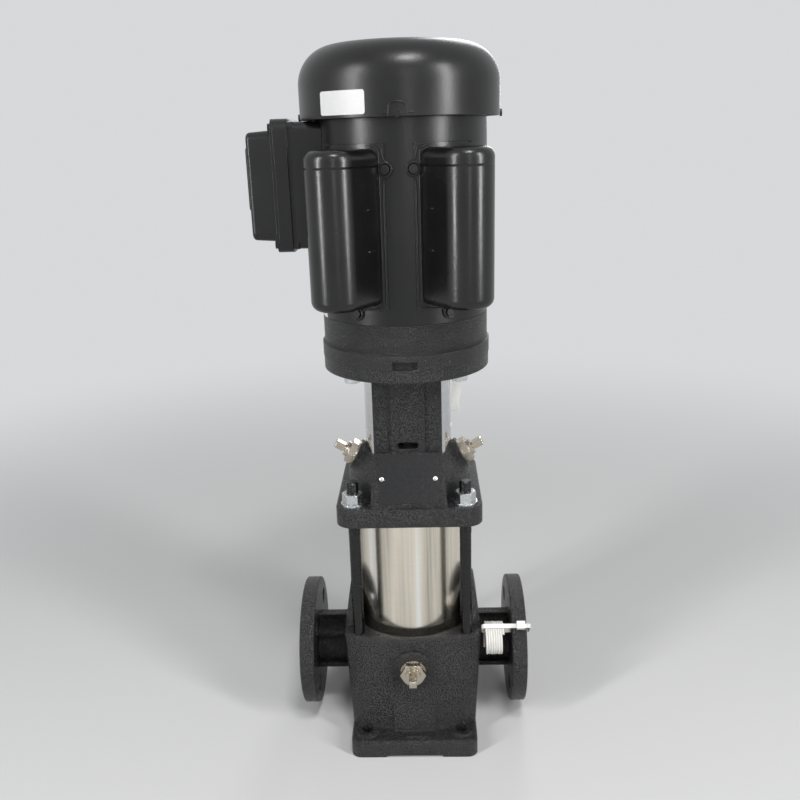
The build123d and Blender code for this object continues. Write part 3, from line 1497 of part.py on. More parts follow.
# The tie runs through the coil and a flange hole and back over the rim.
tie_start = coil_start - 2.5
tie_end = flange_plane + 2.5
tie_rise = Vector(0, -(tie_outer_front - tie_inner_front), tie_outer_height - tie_inner_height)
tie_plane = Plane(
    origin=((tie_start + tie_end) / 2, -(tie_inner_front + tie_outer_front) / 2,
            (tie_inner_height + tie_outer_height) / 2),
    x_dir=(1, 0, 0),
    z_dir=Vector(1, 0, 0).cross(tie_rise),
)
with BuildPart() as cable_tie:
    with BuildSketch(tie_plane):
        RectangleRounded(tie_end - tie_start, tie_rise.length, 3.5)
        RectangleRounded(tie_end - tie_start - 2 * tie_thickness,
                         tie_rise.length - 2 * tie_thickness, 3.5 - tie_thickness,
                         mode=Mode.SUBTRACT)
    extrude(amount=tie_width / 2, both=True)
    with BuildSketch(tie_plane):
        with Locations(((tie_end - tie_start) / 2 - 11, tie_rise.length / 2 + 1.8)):
            Rectangle(tie_head, 6)
    extrude(amount=tie_head * 0.45, both=True)
solid_of(cable_tie, "cable_tie")
print("all parts written")
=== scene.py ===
import json
import math

import bpy
from mathutils import Matrix, Vector


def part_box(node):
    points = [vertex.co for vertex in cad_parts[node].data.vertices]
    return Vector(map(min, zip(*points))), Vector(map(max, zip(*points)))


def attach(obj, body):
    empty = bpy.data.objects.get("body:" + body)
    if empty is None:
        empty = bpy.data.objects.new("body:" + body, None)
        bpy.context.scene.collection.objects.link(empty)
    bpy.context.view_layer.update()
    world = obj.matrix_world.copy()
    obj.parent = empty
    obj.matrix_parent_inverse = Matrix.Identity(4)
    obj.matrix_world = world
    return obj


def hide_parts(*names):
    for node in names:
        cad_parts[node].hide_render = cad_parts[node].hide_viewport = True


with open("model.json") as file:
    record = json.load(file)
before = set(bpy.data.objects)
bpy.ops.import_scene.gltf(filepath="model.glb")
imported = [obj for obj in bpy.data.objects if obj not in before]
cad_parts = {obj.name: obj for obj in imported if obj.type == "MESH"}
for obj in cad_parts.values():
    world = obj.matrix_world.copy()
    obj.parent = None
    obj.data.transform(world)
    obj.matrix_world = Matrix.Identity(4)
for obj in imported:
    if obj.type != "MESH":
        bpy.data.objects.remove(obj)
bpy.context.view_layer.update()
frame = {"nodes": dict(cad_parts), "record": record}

nodes = frame["nodes"]


def clearSelection():
    if bpy.context.object and bpy.context.object.mode != "OBJECT":
        bpy.ops.object.mode_set(mode="OBJECT")
    bpy.ops.object.select_all(action="DESELECT")


# ---- camera, lights and floor
view = {
    "place": (0.0192, -0.8467, 0.6298),
    "pitch": 17.50,  # degrees below level
    "yaw": 1.84,  # degrees to the left
    "roll": -1.71,
    "lens": 37.84,
    "floorSize": 24.0,
    "floorColor": (0.66, 0.66, 0.655, 1),
    "backColor": (0.68, 0.69, 0.70, 1),  # what is seen behind the pump from every side
}


def setView():
    camera = bpy.data.objects.new("camera", bpy.data.cameras.new("camera"))
    bpy.context.scene.collection.objects.link(camera)
    turn = (
        Matrix.Rotation(math.radians(view["yaw"]), 4, "Z")
        @ Matrix.Rotation(math.radians(90 - view["pitch"]), 4, "X")
        @ Matrix.Rotation(math.radians(view["roll"]), 4, "Z")
    )
    camera.matrix_world = Matrix.Translation(view["place"]) @ turn
    camera.data.lens = view["lens"]
    camera.data.sensor_width = 36
    camera.data.clip_start = 0.01
    bpy.context.scene.camera = camera
    bpy.context.scene.view_settings.view_transform = "Standard"


def softLight(name, place, target, size, power, tint=(1, 1, 1)):
    lamp = bpy.data.objects.new(name, bpy.data.lights.new(name, "AREA"))
    lamp.data.shape = "RECTANGLE"
    lamp.data.size = size[0]
    lamp.data.size_y = size[1]
    lamp.data.energy = power
    lamp.data.color = tint
    lamp.location = place
    aim = Vector(target) - Vector(place)
    lamp.rotation_euler = aim.to_track_quat("-Z", "Y").to_euler()
    bpy.context.scene.collection.objects.link(lamp)


def setLights():
    softLight("windowLeft", (-1.25, -1.05, 0.95), (0, 0, 0.42), (0.13, 1.5), 21)
    softLight("windowRight", (1.30, -0.95, 0.95), (0, 0, 0.42), (0.22, 1.4), 21)
    softLight("ceilingSoft", (0.25, -0.85, 2.1), (0, 0, 0.35), (0.35, 0.30), 12)
    softLight("frontFill", (0.45, -2.3, 1.1), (0, 0, 0.35), (0.10, 1.6), 4)
    softLight("rearSoft", (0.4, 1.9, 1.3), (0, 0, 0.4), (0.5, 1.4), 9)
    world = bpy.data.worlds.new("studio")
    bpy.context.scene.world = world
    world.use_nodes = True
    tree = world.node_tree
    tree.nodes.clear()
    out = tree.nodes.new("ShaderNodeOutputWorld")
    soft = tree.nodes.new("ShaderNodeBackground")
    soft.inputs["Color"].default_value = (0.80, 0.83, 0.88, 1)
    soft.inputs["Strength"].default_value = 0.16
    pale = tree.nodes.new("ShaderNodeBackground")
    pale.inputs["Color"].default_value = view["backColor"]
    pale.inputs["Strength"].default_value = 1.0
    mix = tree.nodes.new("ShaderNodeMixShader")
    tree.links.new(seenRays(tree), mix.inputs[0])
    tree.links.new(soft.outputs[0], mix.inputs[1])
    tree.links.new(pale.outputs[0], mix.inputs[2])
    tree.links.new(mix.outputs[0], out.inputs["Surface"])


def seenRays(tree):
    # one for what the eye, a mirror or glass sees, zero for plain light
    paths = tree.nodes.new("ShaderNodeLightPath")
    first = tree.nodes.new("ShaderNodeMath")
    first.operation = "MAXIMUM"
    second = tree.nodes.new("ShaderNodeMath")
    second.operation = "MAXIMUM"
    tree.links.new(paths.outputs["Is Camera Ray"], first.inputs[0])
    tree.links.new(paths.outputs["Is Glossy Ray"], first.inputs[1])
    tree.links.new(first.outputs[0], second.inputs[0])
    tree.links.new(paths.outputs["Is Transmission Ray"], second.inputs[1])
    return second.outputs[0]


def addFloor():
    # a plain pale floor that runs out into the same pale colour as the back
    clearSelection()
    bpy.ops.mesh.primitive_plane_add(size=view["floorSize"], location=(0, 0, -0.0005))
    floor = bpy.context.object
    floor.name = "floor"
    material = bpy.data.materials.new("paleFloor")
    material.use_nodes = True
    tree = material.node_tree
    shader = tree.nodes["Principled BSDF"]
    shader.inputs["Base Color"].default_value = view["floorColor"]
    shader.inputs["Roughness"].default_value = 0.8
    shader.inputs["Specular IOR Level"].default_value = 0.2
    place = tree.nodes.new("ShaderNodeTexCoord")
    distance = tree.nodes.new("ShaderNodeVectorMath")
    distance.operation = "LENGTH"
    tree.links.new(place.outputs["Object"], distance.inputs[0])
    fade = tree.nodes.new("ShaderNodeMapRange")
    fade.interpolation_type = "SMOOTHSTEP"
    fade.inputs["From Min"].default_value = 0.35
    fade.inputs["From Max"].default_value = 1.7
    tree.links.new(distance.outputs["Value"], fade.inputs["Value"])
    reach = tree.nodes.new("ShaderNodeMath")
    reach.operation = "MULTIPLY"
    tree.links.new(fade.outputs["Result"], reach.inputs[0])
    tree.links.new(seenRays(tree), reach.inputs[1])
    pale = tree.nodes.new("ShaderNodeEmission")
    pale.inputs["Color"].default_value = view["backColor"]
    mix = tree.nodes.new("ShaderNodeMixShader")
    tree.links.new(reach.outputs[0], mix.inputs[0])
    tree.links.new(shader.outputs[0], mix.inputs[1])
    tree.links.new(pale.outputs[0], mix.inputs[2])
    tree.links.new(mix.outputs[0], tree.nodes["Material Output"].inputs["Surface"])
    floor.data.materials.append(material)


setView()
setLights()
addFloor()
print("camera, lights and floor are set")


# ---- the coiled cord tied to the discharge flange
coil = {
    "start": 0.0783,
    "pitch": 0.00255,
    "turns": 7.6,
    "radius": 0.0167,
    "front": -0.047,
    "height": 0.1035,
    "wire": 0.0025,
    "pointsPerTurn": 14,
    "wobble": 0.00018,
    "wobbleTurn": 2.3,
    "firstAngle": 1.2,
}


def coilPoints():
    count = int(coil["turns"] * coil["pointsPerTurn"])
    points = []
    for step in range(count + 1):
        turn = step / coil["pointsPerTurn"]
        wobble = coil["wobble"] * math.sin(turn * coil["wobbleTurn"])
        angle = 2 * math.pi * turn - coil["firstAngle"]
        points.append((
            coil["start"] + coil["pitch"] * turn,
            coil["front"] + (coil["radius"] + wobble) * math.cos(angle),
            coil["height"] + (coil["radius"] + wobble) * math.sin(angle),
        ))
    return points


def addCoil():
    points = coilPoints()
    curve = bpy.data.curves.new("cordTurns", "CURVE")
    curve.dimensions = "3D"
    spline = curve.splines.new("NURBS")
    spline.points.add(len(points) - 1)
    for point, place in zip(spline.points, points):
        point.co = (*place, 1)
        point.radius = coil["wire"] / 2  # a curve's box grows by this, so it carries the thickness
    spline.order_u = 3
    spline.use_endpoint_u = True
    curve.bevel_depth = 1
    curve.bevel_resolution = 5
    curve.resolution_u = 4
    curve.use_fill_caps = True
    cord = bpy.data.objects.new("cordTurns", curve)
    bpy.context.scene.collection.objects.link(cord)
    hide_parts("cord_coil")
    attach(cord, "casing")
    return cord


cordTurns = addCoil()
print("cord coil is wound")


# ---- materials
def newMaterial(name):
    material = bpy.data.materials.new(name)
    material.use_nodes = True
    tree = material.node_tree
    return material, tree, tree.nodes["Principled BSDF"]


def objectPoint(tree, scale=(1, 1, 1)):
    place = tree.nodes.new("ShaderNodeTexCoord")
    mapping = tree.nodes.new("ShaderNodeMapping")
    mapping.inputs["Scale"].default_value = scale
    tree.links.new(place.outputs["Object"], mapping.inputs["Vector"])
    return mapping.outputs["Vector"]


def noise(tree, point, scale, detail=4, roughness=0.55):
    node = tree.nodes.new("ShaderNodeTexNoise")
    node.inputs["Scale"].default_value = scale
    node.inputs["Detail"].default_value = detail
    node.inputs["Roughness"].default_value = roughness
    tree.links.new(point, node.inputs["Vector"])
    return node.outputs["Fac"]


def ramp(tree, value, stops):
    node = tree.nodes.new("ShaderNodeValToRGB")
    node.color_ramp.elements[0].position = stops[0][0]
    node.color_ramp.elements[0].color = stops[0][1]
    node.color_ramp.elements[1].position = stops[-1][0]
    node.color_ramp.elements[1].color = stops[-1][1]
    for position, color in stops[1:-1]:
        node.color_ramp.elements.new(position).color = color
    tree.links.new(value, node.inputs["Fac"])
    return node.outputs["Color"]


def grey(level, tint=(1, 1, 1)):
    return (level * tint[0], level * tint[1], level * tint[2], 1)


def span(tree, value, low, high):
    node = tree.nodes.new("ShaderNodeMapRange")
    node.inputs["From Min"].default_value = 0.3
    node.inputs["From Max"].default_value = 0.7
    node.inputs["To Min"].default_value = low
    node.inputs["To Max"].default_value = high
    tree.links.new(value, node.inputs["Value"])
    return node.outputs["Result"]


def bump(tree, shader, height, distance, strength=1.0, edge=0.0):
    node = tree.nodes.new("ShaderNodeBump")
    node.inputs["Distance"].default_value = distance
    node.inputs["Strength"].default_value = strength
    tree.links.new(height, node.inputs["Height"])
    if edge:
        rounding = tree.nodes.new("ShaderNodeBevel")
        rounding.samples = 6
        rounding.inputs["Radius"].default_value = edge
        tree.links.new(rounding.outputs["Normal"], node.inputs["Normal"])
    tree.links.new(node.outputs["Normal"], shader.inputs["Normal"])


def highlightEdgeMask(tree, radius):
    # mask for the painted edge highlight: bright where the rounded normal leaves the flat one, so
    # along edges
    rounding = tree.nodes.new("ShaderNodeBevel")
    rounding.samples = 6
    rounding.inputs["Radius"].default_value = radius
    flat = tree.nodes.new("ShaderNodeNewGeometry")
    dot = tree.nodes.new("ShaderNodeVectorMath")
    dot.operation = "DOT_PRODUCT"
    tree.links.new(rounding.outputs["Normal"], dot.inputs[0])
    tree.links.new(flat.outputs["Normal"], dot.inputs[1])
    limit = tree.nodes.new("ShaderNodeMapRange")
    limit.inputs["From Min"].default_value = 0.995
    limit.inputs["From Max"].default_value = 0.86
    tree.links.new(dot.outputs["Value"], limit.inputs["Value"])
    return limit.outputs["Result"]


def mixColor(tree, factor, first, second):
    node = tree.nodes.new("ShaderNodeMix")
    node.data_type = "RGBA"
    tree.links.new(factor, node.inputs["Factor"])
    for socket, value in ((node.inputs[6], first), (node.inputs[7], second)):
        if isinstance(value, tuple):
            socket.default_value = value
        else:
            tree.links.new(value, socket)
    return node.outputs[2]


def castPaint(name, level, grain, rough, edge):
    # black paint over sand-cast iron: pimpled skin with painted glints on the grain tips and a
    # painted highlight along the edges
    material, tree, shader = newMaterial(name)
    shader.inputs["Specular IOR Level"].default_value = 0.46
    point = objectPoint(tree)
    coarse = noise(tree, point, 24, 3)
    fine = noise(tree, point, grain, 2, 0.6)
    tone = ramp(tree, coarse, [(0.3, grey(level * 0.5)), (0.7, grey(level * 1.2, (1, 1, 1.03)))])
    glintTips = tree.nodes.new("ShaderNodeMapRange")
    glintTips.inputs["From Min"].default_value = 0.50
    glintTips.inputs["From Max"].default_value = 0.70
    tree.links.new(fine, glintTips.inputs["Value"])
    # painted glints: the tips of the fine grain are mixed towards a light grey in the base colour
    speck = mixColor(tree, glintTips.outputs["Result"], tone, grey(level * 13.0, (1, 1, 0.98)))
    # painted highlight: the edges are mixed towards a light grey in the base colour
    edgeHighlight = mixColor(tree, highlightEdgeMask(tree, edge * 0.6), speck, grey(level * 14.0))
    tree.links.new(edgeHighlight, shader.inputs["Base Color"])
    tree.links.new(span(tree, fine, rough + 0.14, rough - 0.12), shader.inputs["Roughness"])
    bump(tree, shader, fine, 0.0022, 1.0, edge)
    return material


def coatedSteel(name, level, rough, peel, edge=0.0008):
    # sprayed coat on pressed steel, with a faint orange peel and a painted highlight along the edges
    material, tree, shader = newMaterial(name)
    shader.inputs["Specular IOR Level"].default_value = 0.44
    point = objectPoint(tree)
    cloud = noise(tree, point, 14, 4)
    skin = noise(tree, point, peel, 2)
    tone = ramp(tree, cloud, [(0.35, grey(level * 0.85)), (0.65, grey(level * 1.2, (1, 1, 1.04)))])
    # painted highlight: the edges are mixed towards a light grey in the base colour
    edgeHighlight = mixColor(tree, highlightEdgeMask(tree, edge), tone, grey(level * 4.0))
    tree.links.new(edgeHighlight, shader.inputs["Base Color"])
    tree.links.new(span(tree, cloud, rough - 0.04, rough + 0.05), shader.inputs["Roughness"])
    bump(tree, shader, skin, 0.00016, 0.5, edge)
    return material


def bareMetal(name, color, rough, streak=(1, 1, 1), scale=300, depth=0.00003, edge=0.0003):
    material, tree, shader = newMaterial(name)
    shader.inputs["Metallic"].default_value = 1.0
    point = objectPoint(tree, streak)
    lines = noise(tree, point, scale, 4, 0.6)
    dark = tuple(c * 0.82 for c in color)
    tone = ramp(tree, lines, [(0.3, (*dark, 1)), (0.7, (*color, 1))])
    tree.links.new(tone, shader.inputs["Base Color"])
    tree.links.new(span(tree, lines, rough - 0.05, rough + 0.08), shader.inputs["Roughness"])
    bump(tree, shader, lines, depth, 0.6, edge)
    return material


def moulded(name, color, rough, scale=400, edge=0.0003):
    material, tree, shader = newMaterial(name)
    point = objectPoint(tree)
    speck = noise(tree, point, scale, 3)
    dark = tuple(c * 0.93 for c in color)
    tone = ramp(tree, speck, [(0.35, (*dark, 1)), (0.65, (*color, 1))])
    tree.links.new(tone, shader.inputs["Base Color"])
    tree.links.new(span(tree, speck, rough - 0.04, rough + 0.06), shader.inputs["Roughness"])
    bump(tree, shader, speck, 0.00006, 0.5, edge)
    return material


def steppedCover(name, level, rough, peel, stepHeight):
    # drawn cover whose upper end is pressed a little wider, above stepHeight
    material, tree, shader = newMaterial(name)
    point = objectPoint(tree)
    cloud = noise(tree, point, 16, 3)
    skin = noise(tree, point, peel, 2)
    tone = ramp(tree, cloud, [(0.35, grey(level * 0.85)), (0.65, grey(level * 1.2, (1, 1, 1.04)))])
    tree.links.new(tone, shader.inputs["Base Color"])
    tree.links.new(span(tree, cloud, rough - 0.03, rough + 0.05), shader.inputs["Roughness"])
    parts = tree.nodes.new("ShaderNodeSeparateXYZ")
    tree.links.new(point, parts.inputs[0])
    shader.inputs["Specular IOR Level"].default_value = 0.5
    step = tree.nodes.new("ShaderNodeMapRange")
    step.interpolation_type = "SMOOTHSTEP"
    step.inputs["From Min"].default_value = stepHeight - 0.0011
    step.inputs["From Max"].default_value = stepHeight + 0.0011
    tree.links.new(parts.outputs["Z"], step.inputs["Value"])
    small = tree.nodes.new("ShaderNodeMath")
    small.operation = "MULTIPLY_ADD"
    small.inputs[1].default_value = 0.06
    tree.links.new(skin, small.inputs[0])
    tree.links.new(step.outputs["Result"], small.inputs[2])
    bump(tree, shader, small.outputs[0], 0.0011, 1.0, 0.0008)
    return material


def brushedSleeve(name, color, rough):
    # stainless tube brushed around its axis, with soft upright bands of painted reflection
    material, tree, shader = newMaterial(name)
    shader.inputs["Metallic"].default_value = 1.0
    lines = noise(tree, objectPoint(tree, (1, 1, 90)), 26, 5, 0.65)
    reflectionBands = noise(tree, objectPoint(tree, (1, 1, 0.02)), 62, 5, 0.62)
    deep = tuple(c * 0.40 for c in color)
    middle = tuple(c * 0.78 for c in color)
    # painted reflection: upright bands from dark to near white in the base colour; the same bands
    # also vary the roughness
    tone = ramp(tree, reflectionBands, [(0.34, (*deep, 1)), (0.44, (*middle, 1)), (0.56, (*color, 1)),
                              (0.68, (0.95, 0.97, 0.97, 1))])
    shade = mixColor(tree, span(tree, lines, 0.0, 0.22), tone, (*deep, 1))
    tree.links.new(shade, shader.inputs["Base Color"])
    tree.links.new(span(tree, reflectionBands, rough + 0.07, rough - 0.06), shader.inputs["Roughness"])
    shader.inputs["Anisotropic"].default_value = 0.75
    around = tree.nodes.new("ShaderNodeTangent")
    around.direction_type = "RADIAL"
    around.axis = "Z"
    tree.links.new(around.outputs[0], shader.inputs["Tangent"])
    bump(tree, shader, lines, 0.00002, 0.5)
    return material


def paper(name, level):
    material, tree, shader = newMaterial(name)
    fibre = noise(tree, objectPoint(tree), 260, 4)
    tone = ramp(tree, fibre, [(0.3, grey(level * 0.95)), (0.7, grey(level, (1, 1, 0.99)))])
    tree.links.new(tone, shader.inputs["Base Color"])
    tree.links.new(span(tree, fibre, 0.40, 0.50), shader.inputs["Roughness"])
    bump(tree, shader, fibre, 0.00003, 0.4)
    return material


finishes = {
    "cast_black": castPaint("castBlack", 0.0028, 690, 0.27, 0.0024),
    "satin_black": coatedSteel("satinBlack", 0.005, 0.30, 700),
    "cover_black": steppedCover("coverBlack", 0.0045, 0.24, 420, 0.604),
    "sleeve_steel": brushedSleeve("sleeveSteel", (0.86, 0.80, 0.69), 0.20),
    "guard_steel": bareMetal("guardSteel", (0.72, 0.72, 0.73), 0.08, (1, 1, 20), 60, 0.00001),
    "rod_black": bareMetal("rodBlack", (0.045, 0.045, 0.047), 0.24, (1, 1, 8), 120, edge=0.0006),
    "zinc": bareMetal("brightZinc", (0.66, 0.68, 0.69), 0.24, edge=0.0005),
    "plug_steel": bareMetal("plugSteel", (0.55, 0.50, 0.42), 0.22, edge=0.0005),
    "shaft_steel": bareMetal("groundSteel", (0.6, 0.6, 0.6), 0.22),
    "wet_steel": bareMetal("pressedStainless", (0.66, 0.66, 0.65), 0.25),
    "seal_black": moulded("sealCarbide", (0.05, 0.05, 0.055), 0.2),
    "o_ring": moulded("ringRubber", (0.02, 0.02, 0.02), 0.6),
    "plate_black": moulded("plateBlack", (0.006, 0.006, 0.007), 0.26),
    "lamination": bareMetal("laminations", (0.25, 0.26, 0.29), 0.4, (1, 1, 40), 60),
    "winding": moulded("windingVarnish", (0.45, 0.17, 0.06), 0.3),
    "rotor_grey": bareMetal("rotorAluminium", (0.55, 0.56, 0.58), 0.35),
    "fan_plastic": moulded("fanPlastic", (0.02, 0.02, 0.02), 0.5),
    "capacitor_case": bareMetal("canAluminium", (0.6, 0.6, 0.6), 0.3),
    "cord_white": moulded("cordIvory", (0.74, 0.73, 0.69), 0.42),
    "tie_white": moulded("tieNylon", (0.78, 0.78, 0.75), 0.36),
}
blankPaper = paper("blankPaper", 0.70)

for entry in frame["record"]["subparts"]:
    node = nodes[entry["node"]]
    node.data.materials.clear()
    node.data.materials.append(finishes[entry["material_slot"]])
nodes["drive_end_bell"].data.materials[0] = castPaint("bellBlack", 0.004, 900, 0.33, 0.0012)
cordTurns.data.materials.append(finishes["cord_white"])
print("every node has its finish")


# ---- small pieces
def compass(azimuth, radius, height):
    # azimuth in degrees from the front, positive towards the discharge side
    angle = math.radians(azimuth)
    return Vector((radius * math.sin(angle), -radius * math.cos(angle), height))


def finishPiece(piece, name, material, smooth=40):
    clearSelection()
    piece.select_set(True)
    bpy.context.view_layer.objects.active = piece
    bpy.ops.object.transform_apply(location=True, rotation=True, scale=True)
    bpy.ops.object.shade_smooth_by_angle(angle=math.radians(smooth))
    piece.name = name
    piece.data.name = name
    piece.data.materials.clear()
    piece.data.materials.append(material)
    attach(piece, "casing")
    return piece


def turnTowards(piece, place, outward, up=(0, 0, 1)):
    # put a piece made flat at the origin, face up, onto a spot that looks outward
    axis = Vector(outward).normalized()
    side = Vector(up).cross(axis).normalized()
    rise = axis.cross(side)
    turn = Matrix((side, rise, axis)).transposed().to_4x4()
    piece.matrix_world = Matrix.Translation(place) @ turn


def editFaces(piece, chosen):
    # leave only the faces for which chosen(face) is true selected, in edit mode
    if bpy.context.mode != "EDIT_MESH":
        bpy.ops.object.mode_set(mode="EDIT")
    bpy.ops.mesh.select_mode(type="FACE")
    bpy.ops.mesh.select_all(action="DESELECT")
    bpy.ops.object.mode_set(mode="OBJECT")
    for face in piece.data.polygons:
        face.select = chosen(face)
    bpy.ops.object.mode_set(mode="EDIT")


def editEdges(piece, chosen):
    if bpy.context.mode != "EDIT_MESH":
        bpy.ops.object.mode_set(mode="EDIT")
    bpy.ops.mesh.select_mode(type="EDGE")
    bpy.ops.mesh.select_all(action="DESELECT")
    bpy.ops.object.mode_set(mode="OBJECT")
    places = [vertex.co for vertex in piece.data.vertices]
    for edge in piece.data.edges:
        edge.select = chosen(places[edge.vertices[0]], places[edge.vertices[1]])
    bpy.ops.object.mode_set(mode="EDIT")


def roundEdges(piece, width):
    rounding = piece.modifiers.new("rounding", "BEVEL")
    rounding.width = width
    rounding.segments = 2
    bpy.ops.object.modifier_apply(modifier="rounding")


def addHalfBall(segments, rings, radius):
    # upper half of a ball with a closed foot, at the origin
    bpy.ops.mesh.primitive_uv_sphere_add(segments=segments, ring_count=rings, radius=radius)
    bpy.ops.object.mode_set(mode="EDIT")
    bpy.ops.mesh.select_all(action="SELECT")
    bpy.ops.mesh.bisect(plane_co=(0, 0, 0), plane_no=(0, 0, 1), use_fill=True, clear_inner=True)
    bpy.ops.object.mode_set(mode="OBJECT")
    return bpy.context.object


def newLine(name, points, thickness, roundness, smoothness):
    line = bpy.data.curves.new(name, "CURVE")
    line.dimensions = "3D"
    line.bevel_depth = thickness
    line.bevel_resolution = roundness
    line.resolution_u = smoothness
    spline = line.splines.new("NURBS")
    spline.points.add(len(points) - 1)
    for target, place in zip(spline.points, points):
        target.co = (*place, 1)
    spline.use_endpoint_u = True
    spline.order_u = 3
    return line


def meshFromLine(name, line, place=(0, 0, 0)):
    clearSelection()
    piece = bpy.data.objects.new(name, line)
    bpy.context.scene.collection.objects.link(piece)
    piece.location = place
    piece.select_set(True)
    bpy.context.view_layer.objects.active = piece
    bpy.ops.object.convert(target="MESH")
    return bpy.context.object


labels = {
    "coverLabel": {"radius": 0.0951, "low": 0.6475, "high": 0.6675, "from": -45.5, "to": -17.0,
                   "corner": 0.0022},
    "shellLabel": {"radius": 0.0828, "low": 0.4565, "high": 0.4685, "from": -84.0, "to": -66.0,
                   "corner": 0.0015},
    "thickness": 0.00016,
}


def addLabel(name):
    size = labels[name]
    clearSelection()
    place = (size["radius"] + labels["thickness"] / 2, 0, (size["low"] + size["high"]) / 2)
    bpy.ops.mesh.primitive_plane_add(size=1, location=place, rotation=(math.pi / 2, 0, 0))
    piece = bpy.context.object
    piece.scale = (labels["thickness"], size["high"] - size["low"], 1)
    bpy.ops.object.transform_apply(location=True, rotation=True, scale=True)
    bpy.ops.object.mode_set(mode="EDIT")
    bpy.ops.mesh.select_all(action="SELECT")
    sweep = math.radians(size["to"] - size["from"])
    bpy.ops.mesh.spin(steps=14, angle=sweep, center=(0, 0, 0), axis=(0, 0, 1))
    bpy.ops.mesh.select_all(action="SELECT")
    bpy.ops.mesh.normals_make_consistent(inside=False)
    bpy.ops.object.mode_set(mode="OBJECT")
    turns = [math.atan2(vertex.co.y, vertex.co.x) for vertex in piece.data.vertices]
    first, last = min(turns), max(turns)

    def cornerEdge(start, end):
        ends = [math.atan2(place.y, place.x) for place in (start, end)]
        radial = abs(start.z - end.z) < 1e-6 and abs(ends[0] - ends[1]) < 1e-4
        return radial and (abs(ends[0] - first) < 1e-3 or abs(ends[0] - last) < 1e-3)

    editEdges(piece, cornerEdge)
    bpy.ops.mesh.bevel(offset=size["corner"], segments=4, affect="EDGES")
    bpy.ops.object.mode_set(mode="OBJECT")
    wanted = math.radians((size["from"] + size["to"]) / 2 - 90)
    piece.rotation_euler = (0, 0, wanted - (first + last) / 2)
    return finishPiece(piece, name, blankPaper)


addLabel("coverLabel")
addLabel("shellLabel")
print("blank labels are on")

rivets = {"radius": 0.0026, "rise": 0.0012, "offset": 0.0272, "plateFace": 0.0004}


def addRivets():
    low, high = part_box("nameplate")
    slope = Vector((0, high[1] - low[1], high[2] - low[2]))
    outward = Vector((1, 0, 0)).cross(slope).normalized()
    if outward.y > 0:
        outward = -outward
    middle = Vector((0, (low[1] + high[1]) / 2, (low[2] + high[2]) / 2))
    for side, name in ((-1, "rivetLeft"), (1, "rivetRight")):
        clearSelection()
        piece = addHalfBall(28, 16, rivets["radius"])
        piece.scale = (1, 1, rivets["rise"] / rivets["radius"])
        bpy.ops.object.transform_apply(location=False, rotation=False, scale=True)
        place = middle + Vector((side * rivets["offset"], 0, 0)) + outward * rivets["plateFace"]
        turnTowards(piece, place, outward)
        finishPiece(piece, name, finishes["zinc"])


addRivets()
print("nameplate is riveted")

tag = {
    "place": (0.0505, 0.004),
    "high": 0.4045,
    "low": 0.3465,
    "width": 0.0085,
    "thickness": 0.0006,
    "steps": 12,
    "curl": 0.006,  # how far the free end leans to the rear
    "sway": 0.0012,
    "swayTurn": 3.2,
    "rounding": 0.0002,
}


def addTag():
    # blank nylon strip that hangs from the stool plate behind the right guard, a little curled
    clearSelection()
    bpy.ops.mesh.primitive_plane_add(size=1, location=(0, 0, 0), rotation=(math.pi / 2, 0, 0))
    piece = bpy.context.object
    piece.name = "tagStrip"
    height = tag["high"] - tag["low"]
    piece.scale = (tag["width"], height, 1)
    bpy.ops.object.transform_apply(location=False, rotation=True, scale=True)
    bpy.ops.object.mode_set(mode="EDIT")
    bpy.ops.mesh.select_all(action="SELECT")
    bpy.ops.mesh.extrude_region_move(TRANSFORM_OT_translate={"value": (0, tag["thickness"], 0)})
    bpy.ops.mesh.select_all(action="SELECT")
    bpy.ops.mesh.normals_make_consistent(inside=False)
    for step in range(1, tag["steps"]):
        bpy.ops.mesh.select_all(action="SELECT")
        level = -height / 2 + step * height / tag["steps"]
        bpy.ops.mesh.bisect(plane_co=(0, 0, level), plane_no=(0, 0, 1))
    bpy.ops.object.mode_set(mode="OBJECT")
    for vertex in piece.data.vertices:
        fall = 0.5 - vertex.co.z / height
        vertex.co.y += tag["curl"] * fall * fall
        vertex.co.x += tag["sway"] * math.sin(tag["swayTurn"] * fall)
    roundEdges(piece, tag["rounding"])
    piece.location = (tag["place"][0], tag["place"][1], (tag["high"] + tag["low"]) / 2)
    finishPiece(piece, "tagStrip", finishes["tie_white"])


addTag()
print("tag strip hangs from the stool")

coverEars = {
    "radius": 0.0068,
    "rim": 0.0013,
    "rise": 0.0009,
    "foot": 0.0006,
    "lip": 0.0004,
    "rounding": 0.0003,
    "shell": 0.08415,
    "edgeRadius": 0.0842,
    "edgeThickness": 0.0008,
    "foldRadius": 0.0841,
    "foldThickness": 0.0007,
    "places": [(-8.5, 0.601), (8.5, 0.601), (-31.0, 0.471), (31.0, 0.471)],
    "edge": [(50, 0.4763), (37, 0.4763), (35.2, 0.4735), (34.8, 0.4685), (31, 0.4655),
             (27.2, 0.4685), (26.8, 0.4735), (25, 0.4763), (14, 0.4763), (10.9, 0.4785),
             (10.2, 0.484), (10.2, 0.540), (10.2, 0.588), (9.4, 0.594), (6.0, 0.5955),
             (4.0, 0.601), (6.0, 0.6065), (9.4, 0.608), (10.3, 0.614), (11.0, 0.6195),
             (14, 0.6222), (30, 0.6224), (50, 0.6224)],
    "fold": [(17, 0.4773), (13.2, 0.4790), (12.3, 0.4850), (12.2, 0.540), (12.3, 0.6130),
             (13.2, 0.6195), (17, 0.6208)],
}


